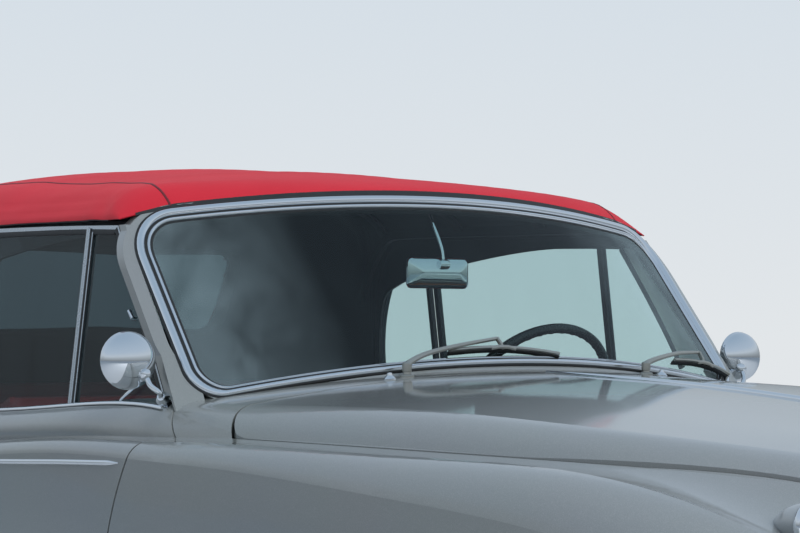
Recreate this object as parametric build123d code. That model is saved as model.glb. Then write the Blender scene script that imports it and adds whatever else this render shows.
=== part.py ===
# A four-seat open tourer of the late 1950s with its fabric roof up, in millimetres.
# +Z is up, the car faces -Y, and +X is the car's left side.
# The origin is on the ground, midway between the bumpers.
import os
from math import atan2, cos, degrees, radians, sin, tan

from build123d import *

os.makedirs("parts", exist_ok=True)

# Driving dimensions of the whole car
wheelbase = 2800.0
front_axle_y = -1525.0
rear_axle_y = front_axle_y + wheelbase
track_half = 715.0
tyre_radius = 333.0
tyre_width = 165.0
rim_radius = 178.0
panel_gap = 6.0
skin = 22.0  # wall of the outer panels, flanges included
seat_gap = 0.3  # what is left between two pieces that seat on each other

# Body ends
nose_y = -2300.0
tail_y = 2300.0
end_corner = 230.0
bumper_front_y = -2375.0
bumper_rear_y = 2375.0

# Body sections, seen from the front, one row per station along the car.
# y: station. top: height on the centre line. knee: where the crown turns down. foot: where the upper
# body stands on the ledge. dip: how far the valley beside the bonnet sinks. ledge: outer edge of the
# ledge. flank: where the side begins. wide: the widest point. sill: the lower edge.
SECTION_COLUMNS = ("y", "top", "knee_x", "knee_z", "foot_x", "foot_z", "dip",
                   "ledge_x", "ledge_z", "flank_x", "flank_z", "wide_x", "wide_z", "sill_x", "sill_z")
SECTIONS = (
    (-2310, 895, 325, 876, 385, 838, 4, 636, 752, 738, 640, 746, 540, 700, 330),
    (-2120, 926, 430, 908, 508, 878, 2, 702, 829, 792, 738, 803, 600, 764, 300),
    (-1900, 949, 500, 932, 580, 894, 12, 744, 885, 834, 802, 848, 630, 816, 272),
    (-1525, 982, 580, 958, 655, 906, 12, 785, 906, 860, 838, 874, 650, 842, 252),
    (-1100, 1012, 640, 974, 712, 912, 5, 822, 907, 868, 858, 880, 660, 850, 244),
    (-685, 1030, 685, 972, 750, 910, 2, 838, 904, 870, 866, 882, 660, 852, 240),
    (-450, 1041, 715, 974, 777, 904, 1, 846, 899, 872, 868, 882.5, 660, 852, 240),
    (100, 1000, 742, 950, 788, 884, 1, 851, 879, 876, 850, 882.5, 655, 852, 240),
    (785, 970, 738, 928, 786, 862, 1, 851, 858, 878, 828, 882.5, 650, 852, 240),
    (1275, 958, 700, 922, 765, 864, 2, 846, 862, 876, 826, 880, 650, 850, 246),
    (1750, 938, 600, 902, 690, 846, 8, 792, 842, 850, 786, 862, 640, 830, 270),
    (2100, 890, 500, 858, 590, 808, 10, 702, 796, 792, 720, 806, 600, 772, 312),
    (2350, 790, 370, 762, 452, 716, 8, 580, 702, 682, 630, 704, 552, 672, 350),
)

# Shut lines of the lids and doors
bonnet_rear_y = -685.0
bonnet_front_y = -2165.0
bonnet_rear_half = 745.0
bonnet_mid_half = 655.0
bonnet_front_half = 492.0
bonnet_corner = 45.0
bonnet_edge_z = 896.0
boot_front_y = 1600.0
boot_rear_y = 2205.0
boot_edge_z = 850.0
boot_half = 540.0
boot_corner = 90.0
lid_pad_z = 880.0
door_rear_y = 765.0
door_bottom_z = 300.0
door_front_low_y = -440.0
door_front_ledge_y = -538.0
door_ledge_z = 899.0
door_inner_x = 700.0
door_inner_gap = 10.0
door_bevel = 22.0
buffer_radius = 9.0

# Cabin, engine bay and boot
cabin_front_y = -575.0
cabin_back_y = 1455.0
seat_rise_y = 1000.0
seat_rise_z = 495.0
wheel_house_y = 900.0
wheel_house_x = 600.0
floor_z = 285.0
belt_z = 905.0
wall = 25.0
arch_radius_front = 385.0
arch_radius_rear = 378.0
bay_front_y = -2150.0
axle_bay_front_y = 1015.0
axle_bay_back_y = 1545.0
axle_bay_z = 470.0
boot_wide_y = 1680.0
deck_split_z = 700.0

# Windscreen: the bright surround's outer edge lies on a raked, bowed surface
screen_base_y = -615.0
screen_base_z = 1040.7
screen_rake = 41.7
screen_bow = 0.358e-3
screen_bottom_fall = 0.1514e-3
screen_top_z = 1413.3
screen_top_fall = 0.1096e-3
screen_bottom_half = 719.0
screen_top_half = 705.5
screen_corner_low = 105.0
screen_corner_high = 118.0
reveal_width = 26.0
reveal_depth = 20.0
reveal_proud = 5.0
glass_thickness = 6.0
pillar_width = 25.0
pillar_depth = 30.0
pillar_inside = 45.0
pillar_outside = 9.0
pillar_gap = 8.0

# Side windows: a plane that leans in
side_base_x = 740.0
side_base_z = 950.0
side_lean = 6.6
frame_width = 15.0
frame_thickness = 13.0
side_top_front_z = 1337.0
side_top_mid_z = 1352.0
side_top_rear_z = 1361.0
vent_post_y = -8.0
frame_foot_y = -508.0
frame_head_y = -138.0
quarter_back_low_y = 1060.0

# Fabric roof sections, seen from the front, one row per station along the car.
# y: station. top: height on the centre line. knee: where the crown turns down. rail: the lower edge of
# the turned side. base: where the side meets the body.
ROOF_COLUMNS = ("y", "top", "knee_x", "knee_z", "rail_x", "rail_z", "base_x", "base_z")
ROOF_SECTIONS = (
    (-330, 1418, 560, 1392, 700, 1340, 756, 900),
    (-118, 1457, 572, 1418, 703, 1348, 756, 900),
    (250, 1505, 580, 1452, 702, 1368, 754, 900),
    (800, 1546, 575, 1488, 696, 1384, 750, 900),
    (1180, 1536, 548, 1474, 676, 1366, 734, 900),
    (1400, 1490, 500, 1424, 634, 1308, 700, 900),
    (1570, 1410, 420, 1340, 535, 1215, 590, 900),
)
roof_thickness = 14.0
roof_hem = ((-700.0, 1331.0), (150.0, 1366.0), (868.0, 1385.0))
roof_back_y = 1545.0
rear_window_half = 370.0
rear_window_low_z = 1120.0
rear_window_high_z = 1350.0

# Jacking pads under the sills and the towing eye under the left rail
jack_pad_x = 780.0
jack_pad_y = (-400.0, 700.0)
jack_pad_z = 230.0
tow_eye = (320.0, -2015.0, 226.0)
tow_eye_bore = 12.0
tow_eye_thickness = 10.0

# Joints: doors, lids and steering
door_hinge_x = 876.0
door_hinge_y = -500.0
kingpin_x = 620.0
bonnet_hinge_y = -625.0
bonnet_hinge_z = 1008.0
boot_hinge_y = 1550.0
boot_hinge_z = 933.0

# Steering wheel and column
wheel_centre = (360.0, -168.0, 948.0)
column_tilt = 30.0
steering_rim_radius = 205.0
steering_rim_thickness = 12.0
column_radius = 24.0

# Wheels and what carries them
stub_radius = 20.0
bore_clearance = 0.05
hub_inner = 45.0
drum_radius = 125.0
arm_level = 110.0
arm_thickness = 18.0

# Bright parts outside
headlamp_x = 640.0
headlamp_z = 672.0
headlamp_radius = 98.0
headlamp_face_y = -2325.0
grille_front_y = -2332.0
grille_half = 245.0
grille_low_z = 372.0
grille_high_z = 898.0
grille_rim = 26.0
grille_bar = 6.0
grille_pitch = 24.0
bumper_z = 450.0
bumper_height = 92.0
bumper_thickness = 26.0
bumper_half = 884.0
bumper_bow = 62.0
bumper_corner = 110.0
bumper_wrap = 100.0
wing_lamp = (628.0, -2150.0, 838.0)
wing_lamp_radius = 32.0
mirror_centre = (806.0, -400.0, 1055.0)
mirror_radius = 57.5
wiper_pivot = (312.0, -640.0)

parts = {}


def block(x, y, z):
    """A box from three (low, high) pairs."""
    size = (x[1] - x[0], y[1] - y[0], z[1] - z[0])
    return Pos((x[0] + x[1]) / 2, (y[0] + y[1]) / 2, (z[0] + z[1]) / 2) * Box(*size)


def plan_prism(face, z_low, z_high):
    """An outline drawn in plan, raised between two heights."""
    return Pos(0, 0, z_low) * extrude(face, z_high - z_low)


def side_plane(x=0.0):
    """Seen from the car's left: local X runs along +Y, local Y is up."""
    return Plane(origin=(x, 0, 0), x_dir=(0, 1, 0), z_dir=(1, 0, 0))


def side_prism(face, x_low, x_high):
    """An outline drawn from the side, run across the car."""
    return side_plane(x_low) * extrude(face, x_high - x_low)


def front_prism(face, y_low, y_high):
    """An outline drawn from the front, run along the car."""
    plane = Plane(origin=(0, y_high, 0), x_dir=(1, 0, 0), z_dir=(0, -1, 0))
    return plane * extrude(face, y_high - y_low)


def outline(*edges):
    return make_face(Wire(list(edges)))


def polygon(points):
    return make_face(Polyline(*points, close=True))


def body_section(row, inset):
    """One closed cross-section of the body, drawn inset from the outer surface."""
    s = dict(zip(SECTION_COLUMNS, row))
    top = s["top"] - inset
    knee = (s["knee_x"] - inset * 0.7, s["knee_z"] - inset)
    foot = (s["foot_x"] - inset, s["foot_z"] - inset)
    ledge = (s["ledge_x"] - inset * 0.5, s["ledge_z"] - inset)
    flank = (s["flank_x"] - inset, s["flank_z"] - inset * 0.6)
    wide = (s["wide_x"] - inset, s["wide_z"])
    sill = (s["sill_x"] - inset, s["sill_z"] + inset)
    drop = top - knee[1]
    crown_radius = (knee[0] ** 2 + drop**2) / (2 * drop)
    crown_angle = atan2(knee[0], crown_radius - drop)
    valley = ((foot[0] + ledge[0]) / 2, min(foot[1], ledge[1]) - s["dip"])

    def half(side):
        def at(p):
            return (side * p[0], p[1])

        flank_side = ThreePointArc(at(flank), at(wide), at(sill))
        up = flank_side % 0
        return [
            TangentArc(at(knee), at(foot), tangent=(side * cos(crown_angle), -sin(crown_angle))),
            ThreePointArc(at(foot), at(valley), at(ledge)),
            TangentArc(at(flank), at(ledge), tangent=(-up.X, -up.Y)),
            flank_side,
        ]

    edges = [ThreePointArc((-knee[0], knee[1]), (0, top), knee)]
    edges += half(1) + half(-1) + [Line(sill, (-sill[0], sill[1]))]
    plane = Plane(origin=(0, s["y"], 0), x_dir=(1, 0, 0), z_dir=(0, -1, 0))
    return plane * make_face(Wire(edges))


def body_form(inset):
    """The body's outer form, or the same form drawn inset inside it, with rounded ends."""
    form = loft([body_section(row, inset) for row in SECTIONS])
    length = tail_y - nose_y - 2 * inset
    plan = Pos(0, (nose_y + tail_y) / 2) * RectangleRounded(2 * (800 - inset), length, end_corner)
    wide_plan = Pos(0, (nose_y + tail_y) / 2) * Rectangle(2 * 900, length - 2 * end_corner)
    form = form & plan_prism(plan + wide_plan, 100, 1200)
    brow = outline(
        Line((nose_y + inset, 200), (nose_y + inset, 640)),
        ThreePointArc((nose_y + inset, 640), (nose_y + inset + 24, 788), (nose_y + inset + 88, 900)),
        Line((nose_y + inset + 88, 900), (nose_y + 400, 1100)),
        Line((nose_y + 400, 1100), (tail_y - 400, 1100)),
        Line((tail_y - 400, 1100), (tail_y - inset - 120, 880)),
        ThreePointArc((tail_y - inset - 120, 880), (tail_y - inset - 32, 770), (tail_y - inset, 620)),
        Line((tail_y - inset, 620), (tail_y - inset, 200)),
        Line((tail_y - inset, 200), (nose_y + inset, 200)),
    )
    return form & side_prism(brow, -950, 950)


def bonnet_outline(gap):
    """The bonnet's shut line in plan, or the edge of its opening when a gap is given."""
    rear = bonnet_rear_y + gap
    front = bonnet_front_y - gap
    back_half = bonnet_rear_half + gap
    mid_half = bonnet_mid_half + gap
    front_half = bonnet_front_half + gap
    right = ThreePointArc((back_half, rear), (mid_half, front_axle_y), (front_half, front))
    left = ThreePointArc((-front_half, front), (-mid_half, front_axle_y), (-back_half, rear))
    front_edge = Line((front_half, front), (-front_half, front))
    rear_edge = Line((-back_half, rear), (back_half, rear))
    face = outline(right, front_edge, left, rear_edge)
    corners = face.vertices().sort_by(Axis.Y)[-2:]
    return fillet(corners, bonnet_corner + gap)


def boot_outline(gap):
    """The boot lid's shut line in plan."""
    width = 2 * (boot_half + gap)
    length = boot_rear_y - boot_front_y + 2 * gap
    return Pos(0, (boot_front_y + boot_rear_y) / 2) * RectangleRounded(width, length, boot_corner + gap)


def door_outline(gap):
    """The door's shut line, seen from the side: swept at the front, raked beside the windscreen pillar."""
    low = door_bottom_z - gap
    back = door_rear_y + gap
    front = door_front_low_y - gap
    ledge = (door_front_ledge_y - gap, door_ledge_z)
    rake = tan(radians(screen_rake))
    top_z = 1150
    start = (ledge[0] + 16, ledge[1] + 8)
    top = (start[0] + (top_z - start[1]) * rake, top_z)
    return outline(
        Line((back, low), (back, top_z)),
        Line((back, top_z), top),
        Line(top, start),
        Line(start, ledge),
        ThreePointArc(ledge, (front - 36, 775), (front, 640)),
        Line((front, 640), (front, low)),
        Line((front, low), (back, low)),
    )


def screen_outline(grow, grow_top=None):
    """The windscreen surround's outer edge seen from the front, grown or shrunk."""
    low_half = screen_bottom_half + grow
    high_half = screen_top_half + grow
    low_mid = screen_base_z - grow
    high_mid = screen_top_z + (grow if grow_top is None else grow_top)
    low_end = low_mid - screen_bottom_fall * low_half**2
    high_end = high_mid - screen_top_fall * high_half**2
    face = outline(
        ThreePointArc((-low_half, low_end), (0, low_mid), (low_half, low_end)),
        Line((low_half, low_end), (high_half, high_end)),
        ThreePointArc((high_half, high_end), (0, high_mid), (-high_half, high_end)),
        Line((-high_half, high_end), (-low_half, low_end)),
    )
    ordered = face.vertices().sort_by(Axis.Y)
    face = fillet(ordered[:2], screen_corner_low + grow)
    ordered = face.vertices().sort_by(Axis.Y)
    return fillet(ordered[-2:], screen_corner_high + grow)


def screen_sheet(front, back):
    """A slab of the windscreen's bowed surface, from one depth to another behind it."""
    reach = 800.0
    bow = screen_bow * reach**2
    face = outline(
        ThreePointArc((-reach, bow + front), (0, front), (reach, bow + front)),
        Line((reach, bow + front), (reach, bow + back)),
        ThreePointArc((reach, bow + back), (0, back), (-reach, bow + back)),
        Line((-reach, bow + back), (-reach, bow + front)),
    )
    low = -190.0
    height = 640.0
    rake = tan(radians(screen_rake))
    start = Pos(0, screen_base_y + low * rake, screen_base_z + low)
    return start * extrude(face, height / cos(radians(screen_rake)), dir=Vector(0, rake, 1).normalized())


def lathe_y(face, x, y, z):
    """A turned piece with its axis along the car: the face holds (radius, depth) points."""
    return Pos(x, y, z) * revolve(face, Axis.Y, 360)


def lathe_x(face, x, y, z):
    """A turned piece with its axis across the car: the face holds (depth, radius) points."""
    return Pos(x, y, z) * revolve(face, Axis.X, 360)


def rod(start, end, radius):
    """A round bar between two points."""
    line = Vector(*end) - Vector(*start)
    plane = Plane(origin=start, z_dir=line.normalized())
    return plane * Cylinder(radius, line.length, align=(Align.CENTER, Align.CENTER, Align.MIN))


def add(name, solid):
    """Keep a finished piece under its name, without slivers."""
    keep = [s for s in solid.solids() if s.volume > 1000]
    parts[name] = keep[0] if len(keep) == 1 else Compound(children=keep)


def add_pair(name, solid):
    """Keep a piece of the left side and its mirror image."""
    add(f"{name}_left", solid)
    add(f"{name}_right", mirror(solid, Plane.YZ))


def body_shell():
    """The whole body as one hollow shell: engine bay, cabin, boot and wheel arches opened."""
    bay = inner_form & block((-900, 900), (nose_y, cabin_front_y - wall), (200, 1100))
    under = block((-950, 950), (bay_front_y + 105, cabin_front_y - wall), (100, 400))
    bay_floor = plan_prism(wing_divider(), 100, 400) & under
    boot_wall = wheel_house_x - wall
    boot_front = cabin_back_y + wall
    boot = inner_form & block((-boot_wall, boot_wall), (boot_front, tail_y), (axle_bay_z + wall, 1100))
    boot = boot + (inner_form & block((-boot_wall, boot_wall), (axle_bay_back_y + wall, tail_y), (200, 1100)))
    boot = boot + (inner_form & block((-900, 900), (boot_wide_y, tail_y), (200, 1100)))
    cabin_low = block((-door_inner_x, door_inner_x), (cabin_front_y, wheel_house_y), (floor_z, belt_z))
    back_width = (-wheel_house_x, wheel_house_x)
    back_low = block(back_width, (wheel_house_y - 1, cabin_back_y), (seat_rise_z, belt_z))
    back_floor = block(back_width, (wheel_house_y - 1, seat_rise_y), (floor_z, belt_z))
    upper_front = outline(
        ThreePointArc((-door_inner_x, -452), (0, screen_base_y + 62), (door_inner_x, -452)),
        Line((door_inner_x, -452), (door_inner_x, wheel_house_y)),
        Line((door_inner_x, wheel_house_y), (-door_inner_x, wheel_house_y)),
        Line((-door_inner_x, wheel_house_y), (-door_inner_x, -452)),
    )
    cabin_high = plan_prism(upper_front, belt_z - 1, 1200)
    back_high = block(back_width, (wheel_house_y - 1, cabin_back_y), (belt_z - 1, 1200))
    axle_half = wheel_house_x + 60
    axle_bay = block((-axle_half, axle_half), (axle_bay_front_y, axle_bay_back_y), (100, axle_bay_z))
    shell = outer_form - bay - bay_floor - boot - cabin_low - back_low - back_floor - cabin_high - back_high
    shell = shell - axle_bay
    for side in (1, -1):
        front = Rot(0, 90, 0) * Cylinder(arch_radius_front, 400)
        front = Pos(side * 750, front_axle_y, tyre_radius) * front
        rear = Rot(0, 90, 0) * Cylinder(arch_radius_rear, 300)
        rear = Pos(side * 750, rear_axle_y, tyre_radius) * rear
        shell = shell - front - rear
    return shell


def wing_divider():
    """Plan of everything between the wings: the bonnet's line carried on to the nose and the pillars."""
    rear_half = 765.0
    return outline(
        ThreePointArc((bonnet_rear_half, bonnet_rear_y), (bonnet_mid_half, front_axle_y),
                      (bonnet_front_half, bonnet_front_y)),
        Line((bonnet_front_half, bonnet_front_y), (430, -2500)),
        Line((430, -2500), (-430, -2500)),
        Line((-430, -2500), (-bonnet_front_half, bonnet_front_y)),
        ThreePointArc((-bonnet_front_half, bonnet_front_y), (-bonnet_mid_half, front_axle_y),
                      (-bonnet_rear_half, bonnet_rear_y)),
        Line((-bonnet_rear_half, bonnet_rear_y), (-rear_half, -300)),
        Line((-rear_half, -300), (rear_half, -300)),
        Line((rear_half, -300), (bonnet_rear_half, bonnet_rear_y)),
    )


def hinge_sweep(hinge_y, hinge_z, edge_y, edge_z):
    """The round path that a lid's far edge takes about its hinge."""
    reach = ((edge_y - hinge_y) ** 2 + (edge_z - hinge_z) ** 2) ** 0.5
    return Pos(0, hinge_y, hinge_z) * (Rot(0, 90, 0) * Cylinder(reach, 1900))


def make_lids(shell):
    bonnet = shell & plan_prism(bonnet_outline(0), 700, 1200)
    bonnet = bonnet & hinge_sweep(bonnet_hinge_y, bonnet_hinge_z, bonnet_front_y, bonnet_edge_z)
    add("bonnet", bonnet)
    boot = shell & plan_prism(boot_outline(0), 600, 1200)
    boot = boot & hinge_sweep(boot_hinge_y, boot_hinge_z, boot_rear_y, boot_edge_z)
    add("boot_lid", boot)


def door_bevel_face(gap):
    """Plan of everything behind the door's slanted rear face, moved back by a gap."""
    slope = door_bevel / 280
    return polygon([(600, door_rear_y - door_bevel + gap), (880, door_rear_y + gap),
                    (950, door_rear_y + 70 * slope + gap), (950, door_rear_y + 300),
                    (600, door_rear_y + 300)])


def make_doors(shell):
    door = shell & side_prism(door_outline(0), door_inner_x - 2, 950)
    door = door & block((door_inner_x, 950), (-900, 900), (200, 1200))
    door = door - plan_prism(door_bevel_face(0), 200, 1200)
    add_pair("door", door)


def pillar_ring():
    """Windscreen pillars and header, outside the bright surround."""
    depth = screen_sheet(0, pillar_depth)
    outer = front_prism(screen_outline(pillar_width, 8), -900, 200)
    inner = front_prism(screen_outline(0), -900, 200)
    head = up_glass(side_top_front_z)
    back_foot = frame_foot_y - pillar_gap
    back_head = frame_head_y - pillar_gap
    web = polygon([(back_foot, -60), (back_head, head), (back_head - 90, head), (back_foot - 90, -60)])
    web = side_window_plane() * (Pos(0, 0, -pillar_inside) * extrude(web, pillar_inside + pillar_outside))
    web = (web + mirror(web, Plane.YZ)) & screen_sheet(0, 200)
    return ((depth & outer) + web) - inner


def make_fixed_panels(shell):
    """Split the fixed part of the shell where the real panels are welded together."""
    fixed = shell - plan_prism(bonnet_outline(panel_gap), 700, 1200)
    fixed = fixed - plan_prism(boot_outline(panel_gap), 600, 1200)
    fixed = fixed - side_prism(door_outline(panel_gap), door_inner_x - door_inner_gap, 950)
    fixed = fixed - side_prism(door_outline(panel_gap), -950, -door_inner_x + door_inner_gap)
    floor_region = block((-950, 950), (cabin_front_y - wall, seat_rise_y + 20), (100, floor_z))
    floor = fixed & floor_region
    for x in (-jack_pad_x, jack_pad_x):
        for y in jack_pad_y:
            floor = floor + block((x - 30, x + 30), (y - 40, y + 40), (jack_pad_z, floor_z - 20))
    add("floor", floor)
    upper = fixed - floor_region
    front = upper & block((-950, 950), (-2500, 0), (100, 1200))
    between = plan_prism(wing_divider(), 100, 1200)
    wing = (front - between) & block((0, 950), (-2500, 0), (100, 1200))
    pad = rod((690, -1200, 900), (722, -1200, 900), 4) - plan_prism(bonnet_outline(seat_gap), 700, 1200)
    wing = wing + pad
    hood_back_y = nose_y + 60
    hood = extrude(Circle(headlamp_radius + 22), hood_back_y - headlamp_face_y, taper=6)
    hood = Pos(headlamp_x, hood_back_y, headlamp_z) * (Rot(90, 0, 0) * hood)
    hood = hood - inner_form
    add_pair("wing", wing + hood)
    middle = front & between
    nose = middle & block((-950, 950), (-2500, bonnet_front_y + 120), (100, 1200))
    add("nose", nose)
    scuttle = middle & block((-950, 950), (cabin_front_y - 140, 0), (100, 1200))
    door_corner = side_prism(door_outline(panel_gap), -950, 950) & block((-950, 950), (-950, 950), (800, 985))
    ring = pillar_ring() - door_corner - wing - mirror(wing, Plane.YZ)
    add("scuttle", scuttle + ring)
    back = upper & block((-950, 950), (0, 2500), (100, 1200))
    quarter_half = wheel_house_x
    quarter = back & block((quarter_half, 950), (0, 2500), (100, 1200))
    buffers = [rod((800, door_rear_y - 20, z), (800, door_rear_y + 30, z), buffer_radius) for z in (430, 640)]
    for item in buffers:
        quarter = quarter + (item & plan_prism(door_bevel_face(seat_gap), 200, 1200))
    add_pair("quarter", quarter)
    centre = back & block((-quarter_half, quarter_half), (0, 2500), (100, 1200))
    tail_region = block((-950, 950), (boot_rear_y - 60, 2500), (100, 1200))
    add("tail", centre & tail_region)
    centre = centre - tail_region
    deck_region = block((-950, 950), (cabin_back_y, 2500), (deck_split_z, 1200))
    deck = centre & deck_region
    for side in (-1, 1):
        x = side * (boot_half + seat_gap)
        deck = deck + rod((x, 1800, lid_pad_z), (x + side * 10, 1800, lid_pad_z), 4)
    add("deck", deck)
    add("rear_floor", centre - deck_region)


def make_windscreen():
    """Glass and its bright surround."""
    rim = screen_sheet(-reveal_proud, reveal_depth)
    outer = front_prism(screen_outline(-seat_gap), -900, 200)
    inner = front_prism(screen_outline(-reveal_width), -900, 200)
    add("windscreen_surround", ((rim & outer) - inner) - outer_form)
    pane = front_prism(screen_outline(-reveal_width - seat_gap), -900, 200)
    add("windscreen_glass", (pane & screen_sheet(4, 4 + glass_thickness)) - outer_form)


def side_window_plane():
    """The plane of the side windows: local X along the car, local Y up the glass."""
    lean = radians(side_lean)
    up = Vector(-sin(lean), 0, cos(lean))
    out = Vector(cos(lean), 0, sin(lean))
    return Plane(origin=(side_base_x, 0, side_base_z), x_dir=(0, 1, 0), z_dir=out)


def side_slab(face, thickness):
    """An outline in the side windows' plane, raised evenly to both sides."""
    return side_window_plane() * (Pos(0, 0, -thickness / 2) * extrude(face, thickness))


def up_glass(z):
    """How far up the leaning glass a height lies."""
    return (z - side_base_z) / cos(radians(side_lean))


def door_window_outline():
    front = up_glass(side_top_front_z)
    rear = up_glass(side_top_rear_z)
    face = outline(
        Line((frame_foot_y, -60), (frame_head_y, front)),
        ThreePointArc((frame_head_y, front), (300, up_glass(side_top_mid_z)), (745, rear)),
        Line((745, rear), (745, -60)),
        Line((745, -60), (frame_foot_y, -60)),
    )
    rear_top = face.vertices().sort_by(Axis.X)[-2:].sort_by(Axis.Y)[-1:]
    return fillet(rear_top, 22)


def quarter_window_outline():
    rise = up_glass(side_top_rear_z)
    return outline(
        Line((766, -60), (766, rise)),
        Line((766, rise), (862, rise - 2)),
        ThreePointArc((862, rise - 2), (990, 290), (quarter_back_low_y, 70)),
        Line((quarter_back_low_y, 70), (quarter_back_low_y, -60)),
        Line((quarter_back_low_y, -60), (766, -60)),
    )


def make_side_windows():
    """Door window frames with a vent pane, and the fixed panes behind the doors."""
    whole = door_window_outline()
    post = Pos(vent_post_y, 150) * Rectangle(frame_width, 700)
    wide_post = Pos(vent_post_y, 150) * Rectangle(frame_width + 2 * seat_gap, 700)
    opening = offset(whole, -frame_width, kind=Kind.INTERSECTION) + Pos(150, -40) * Rectangle(1100, 60)
    opening = (opening & offset(whole, -frame_width + 0.001, kind=Kind.INTERSECTION)) - post
    frame = side_slab(whole - opening, frame_thickness) - outer_form
    add_pair("door_frame", frame)
    pane = offset(whole, -frame_width - seat_gap, kind=Kind.INTERSECTION) - wide_post
    add_pair("door_glass", side_slab(pane, glass_thickness) - outer_form)
    quarter = quarter_window_outline()
    quarter_opening = offset(quarter, -frame_width, kind=Kind.INTERSECTION)
    rim = side_slab(quarter - quarter_opening, frame_thickness) - outer_form
    add_pair("quarter_frame", rim)
    quarter_pane = offset(quarter, -frame_width - seat_gap, kind=Kind.INTERSECTION)
    add_pair("quarter_glass", side_slab(quarter_pane, glass_thickness) - outer_form)


def roof_section(row, inset):
    s = dict(zip(ROOF_COLUMNS, row))
    top = s["top"] - inset
    knee = (s["knee_x"] - inset * 0.6, s["knee_z"] - inset)
    rail = (s["rail_x"] - inset, s["rail_z"])
    base = (s["base_x"] - inset, s["base_z"])
    drop = top - knee[1]
    crown_radius = (knee[0] ** 2 + drop**2) / (2 * drop)
    angle = atan2(knee[0], crown_radius - drop)
    right = TangentArc(knee, rail, tangent=(cos(angle), -sin(angle)))
    left = TangentArc((-knee[0], knee[1]), (-rail[0], rail[1]), tangent=(-cos(angle), -sin(angle)))
    face = outline(
        ThreePointArc((-knee[0], knee[1]), (0, top), knee),
        right,
        Line(rail, base),
        Line(base, (-base[0], base[1])),
        Line((-base[0], base[1]), (-rail[0], rail[1])),
        left,
    )
    plane = Plane(origin=(0, s["y"], 0), x_dir=(1, 0, 0), z_dir=(0, -1, 0))
    return plane * face


def roof_form(inset):
    form = loft([roof_section(row, inset) for row in ROOF_SECTIONS])
    back = roof_back_y - inset
    profile = polygon([(-500, 700), (-500, 1575 - inset), (1165, 1552 - inset),
                       (back + 3, 925), (back + 3, 700)])
    crest = profile.vertices().sort_by(Axis.Y)[-2:].sort_by(Axis.X)[-1:]
    profile = fillet(crest, 190 - inset)
    return form & side_prism(profile, -900, 900)


def make_roof():
    """The fabric roof, put up, and the clear window in its back."""
    cloth = roof_form(0.0) - roof_form(roof_thickness)
    window_side = outline(
        Line((-700, 700), roof_hem[0]),
        ThreePointArc(*roof_hem),
        ThreePointArc(roof_hem[2], (1010, 1240), (quarter_back_low_y + 6, 1020)),
        Line((quarter_back_low_y + 6, 1020), (quarter_back_low_y + 6, 700)),
        Line((quarter_back_low_y + 6, 700), (-700, 700)),
    )
    cloth = cloth - side_prism(window_side, -900, 900)
    cloth = cloth - screen_sheet(-400, 3)
    cloth = cloth - front_prism(screen_outline(pillar_width + seat_gap, 8 + seat_gap), -900, -60)
    cloth = cloth - Pos(0, 0, seat_gap) * outer_form
    height = rear_window_high_z - rear_window_low_z
    place = (0, (rear_window_high_z + rear_window_low_z) / 2)
    window = Pos(*place) * RectangleRounded(2 * rear_window_half, height, 45)
    pane = Pos(*place) * RectangleRounded(2 * rear_window_half - 2 * seat_gap, height - 2 * seat_gap, 45)
    cloth = cloth - front_prism(window, 1200, 1700)
    add("soft_top", cloth)
    sheet = roof_form(4.0) - roof_form(9.0)
    add("rear_window", sheet & front_prism(pane, 1200, 1700))


def make_grille():
    """An upright bright shell with thin upright bars, standing on the nose panel."""
    shell_face = Pos(0, (grille_low_z + grille_high_z) / 2) * RectangleRounded(
        2 * grille_half, grille_high_z - grille_low_z, 78)
    mouth = offset(shell_face, -grille_rim)
    shell = front_prism(shell_face - mouth, grille_front_y, bonnet_front_y - 4)
    back = front_prism(offset(shell_face, -grille_rim / 2), nose_y - 12, nose_y - 4)
    bars = []
    count = int((grille_half - grille_rim) / grille_pitch)
    for index in range(-count, count + 1):
        bar = Rectangle(grille_bar, grille_high_z - grille_low_z - grille_rim)
        bars.append(Pos(index * grille_pitch, (grille_low_z + grille_high_z) / 2) * bar)
    bar_face = Sketch() + bars
    bar_solid = front_prism(bar_face & offset(shell_face, -grille_rim / 2), grille_front_y + 14, nose_y - 6)
    add("grille", (shell + back + bar_solid) - outer_form)


def make_bumper(front_y, sign):
    """A wrap-round blade with two overriders and the two irons that carry it."""
    depth = bumper_thickness / 2
    centre_y = front_y + sign * depth
    corner = (bumper_half - depth - bumper_corner, centre_y + sign * bumper_bow)
    front = ThreePointArc((-corner[0], corner[1]), (0, centre_y), corner)
    leave = front % 1
    turn = 90 - abs(degrees(atan2(leave.Y, leave.X)))
    right = JernArc(corner, (leave.X, leave.Y), bumper_corner, sign * turn)
    right_end = right @ 1
    left = JernArc((-corner[0], corner[1]), (-leave.X, leave.Y), bumper_corner, -sign * turn)
    left_end = left @ 1
    wrap = sign * bumper_wrap
    right_tip = Line(right_end, (right_end.X, right_end.Y + wrap))
    left_tip = Line((left_end.X, left_end.Y + wrap), left_end)
    path = Pos(0, 0, bumper_z) * Wire([left_tip, left, front, right, right_tip])
    along = path % 0
    section_plane = Plane(origin=path @ 0, x_dir=(along.Y, -along.X, 0), z_dir=tuple(along))
    bar = sweep(section_plane * RectangleRounded(bumper_thickness, bumper_height, 10), path=path)
    y_body = (nose_y + 10) if sign > 0 else (tail_y - 15)
    for side in (1, -1):
        x = side * 330
        y_iron = front_y + sign * (bumper_thickness + 12)
        iron = block((x - 24, x + 24), tuple(sorted((y_iron, y_body))), (bumper_z - 22, bumper_z + 22))
        bar = bar + (iron - outer_form)
        rider = Pos(side * 290, front_y + sign * 17, bumper_z + 8) * Box(52, 44, 190)
        rider = fillet(rider.edges(), 16)
        bar = bar + rider
    return bar


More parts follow.
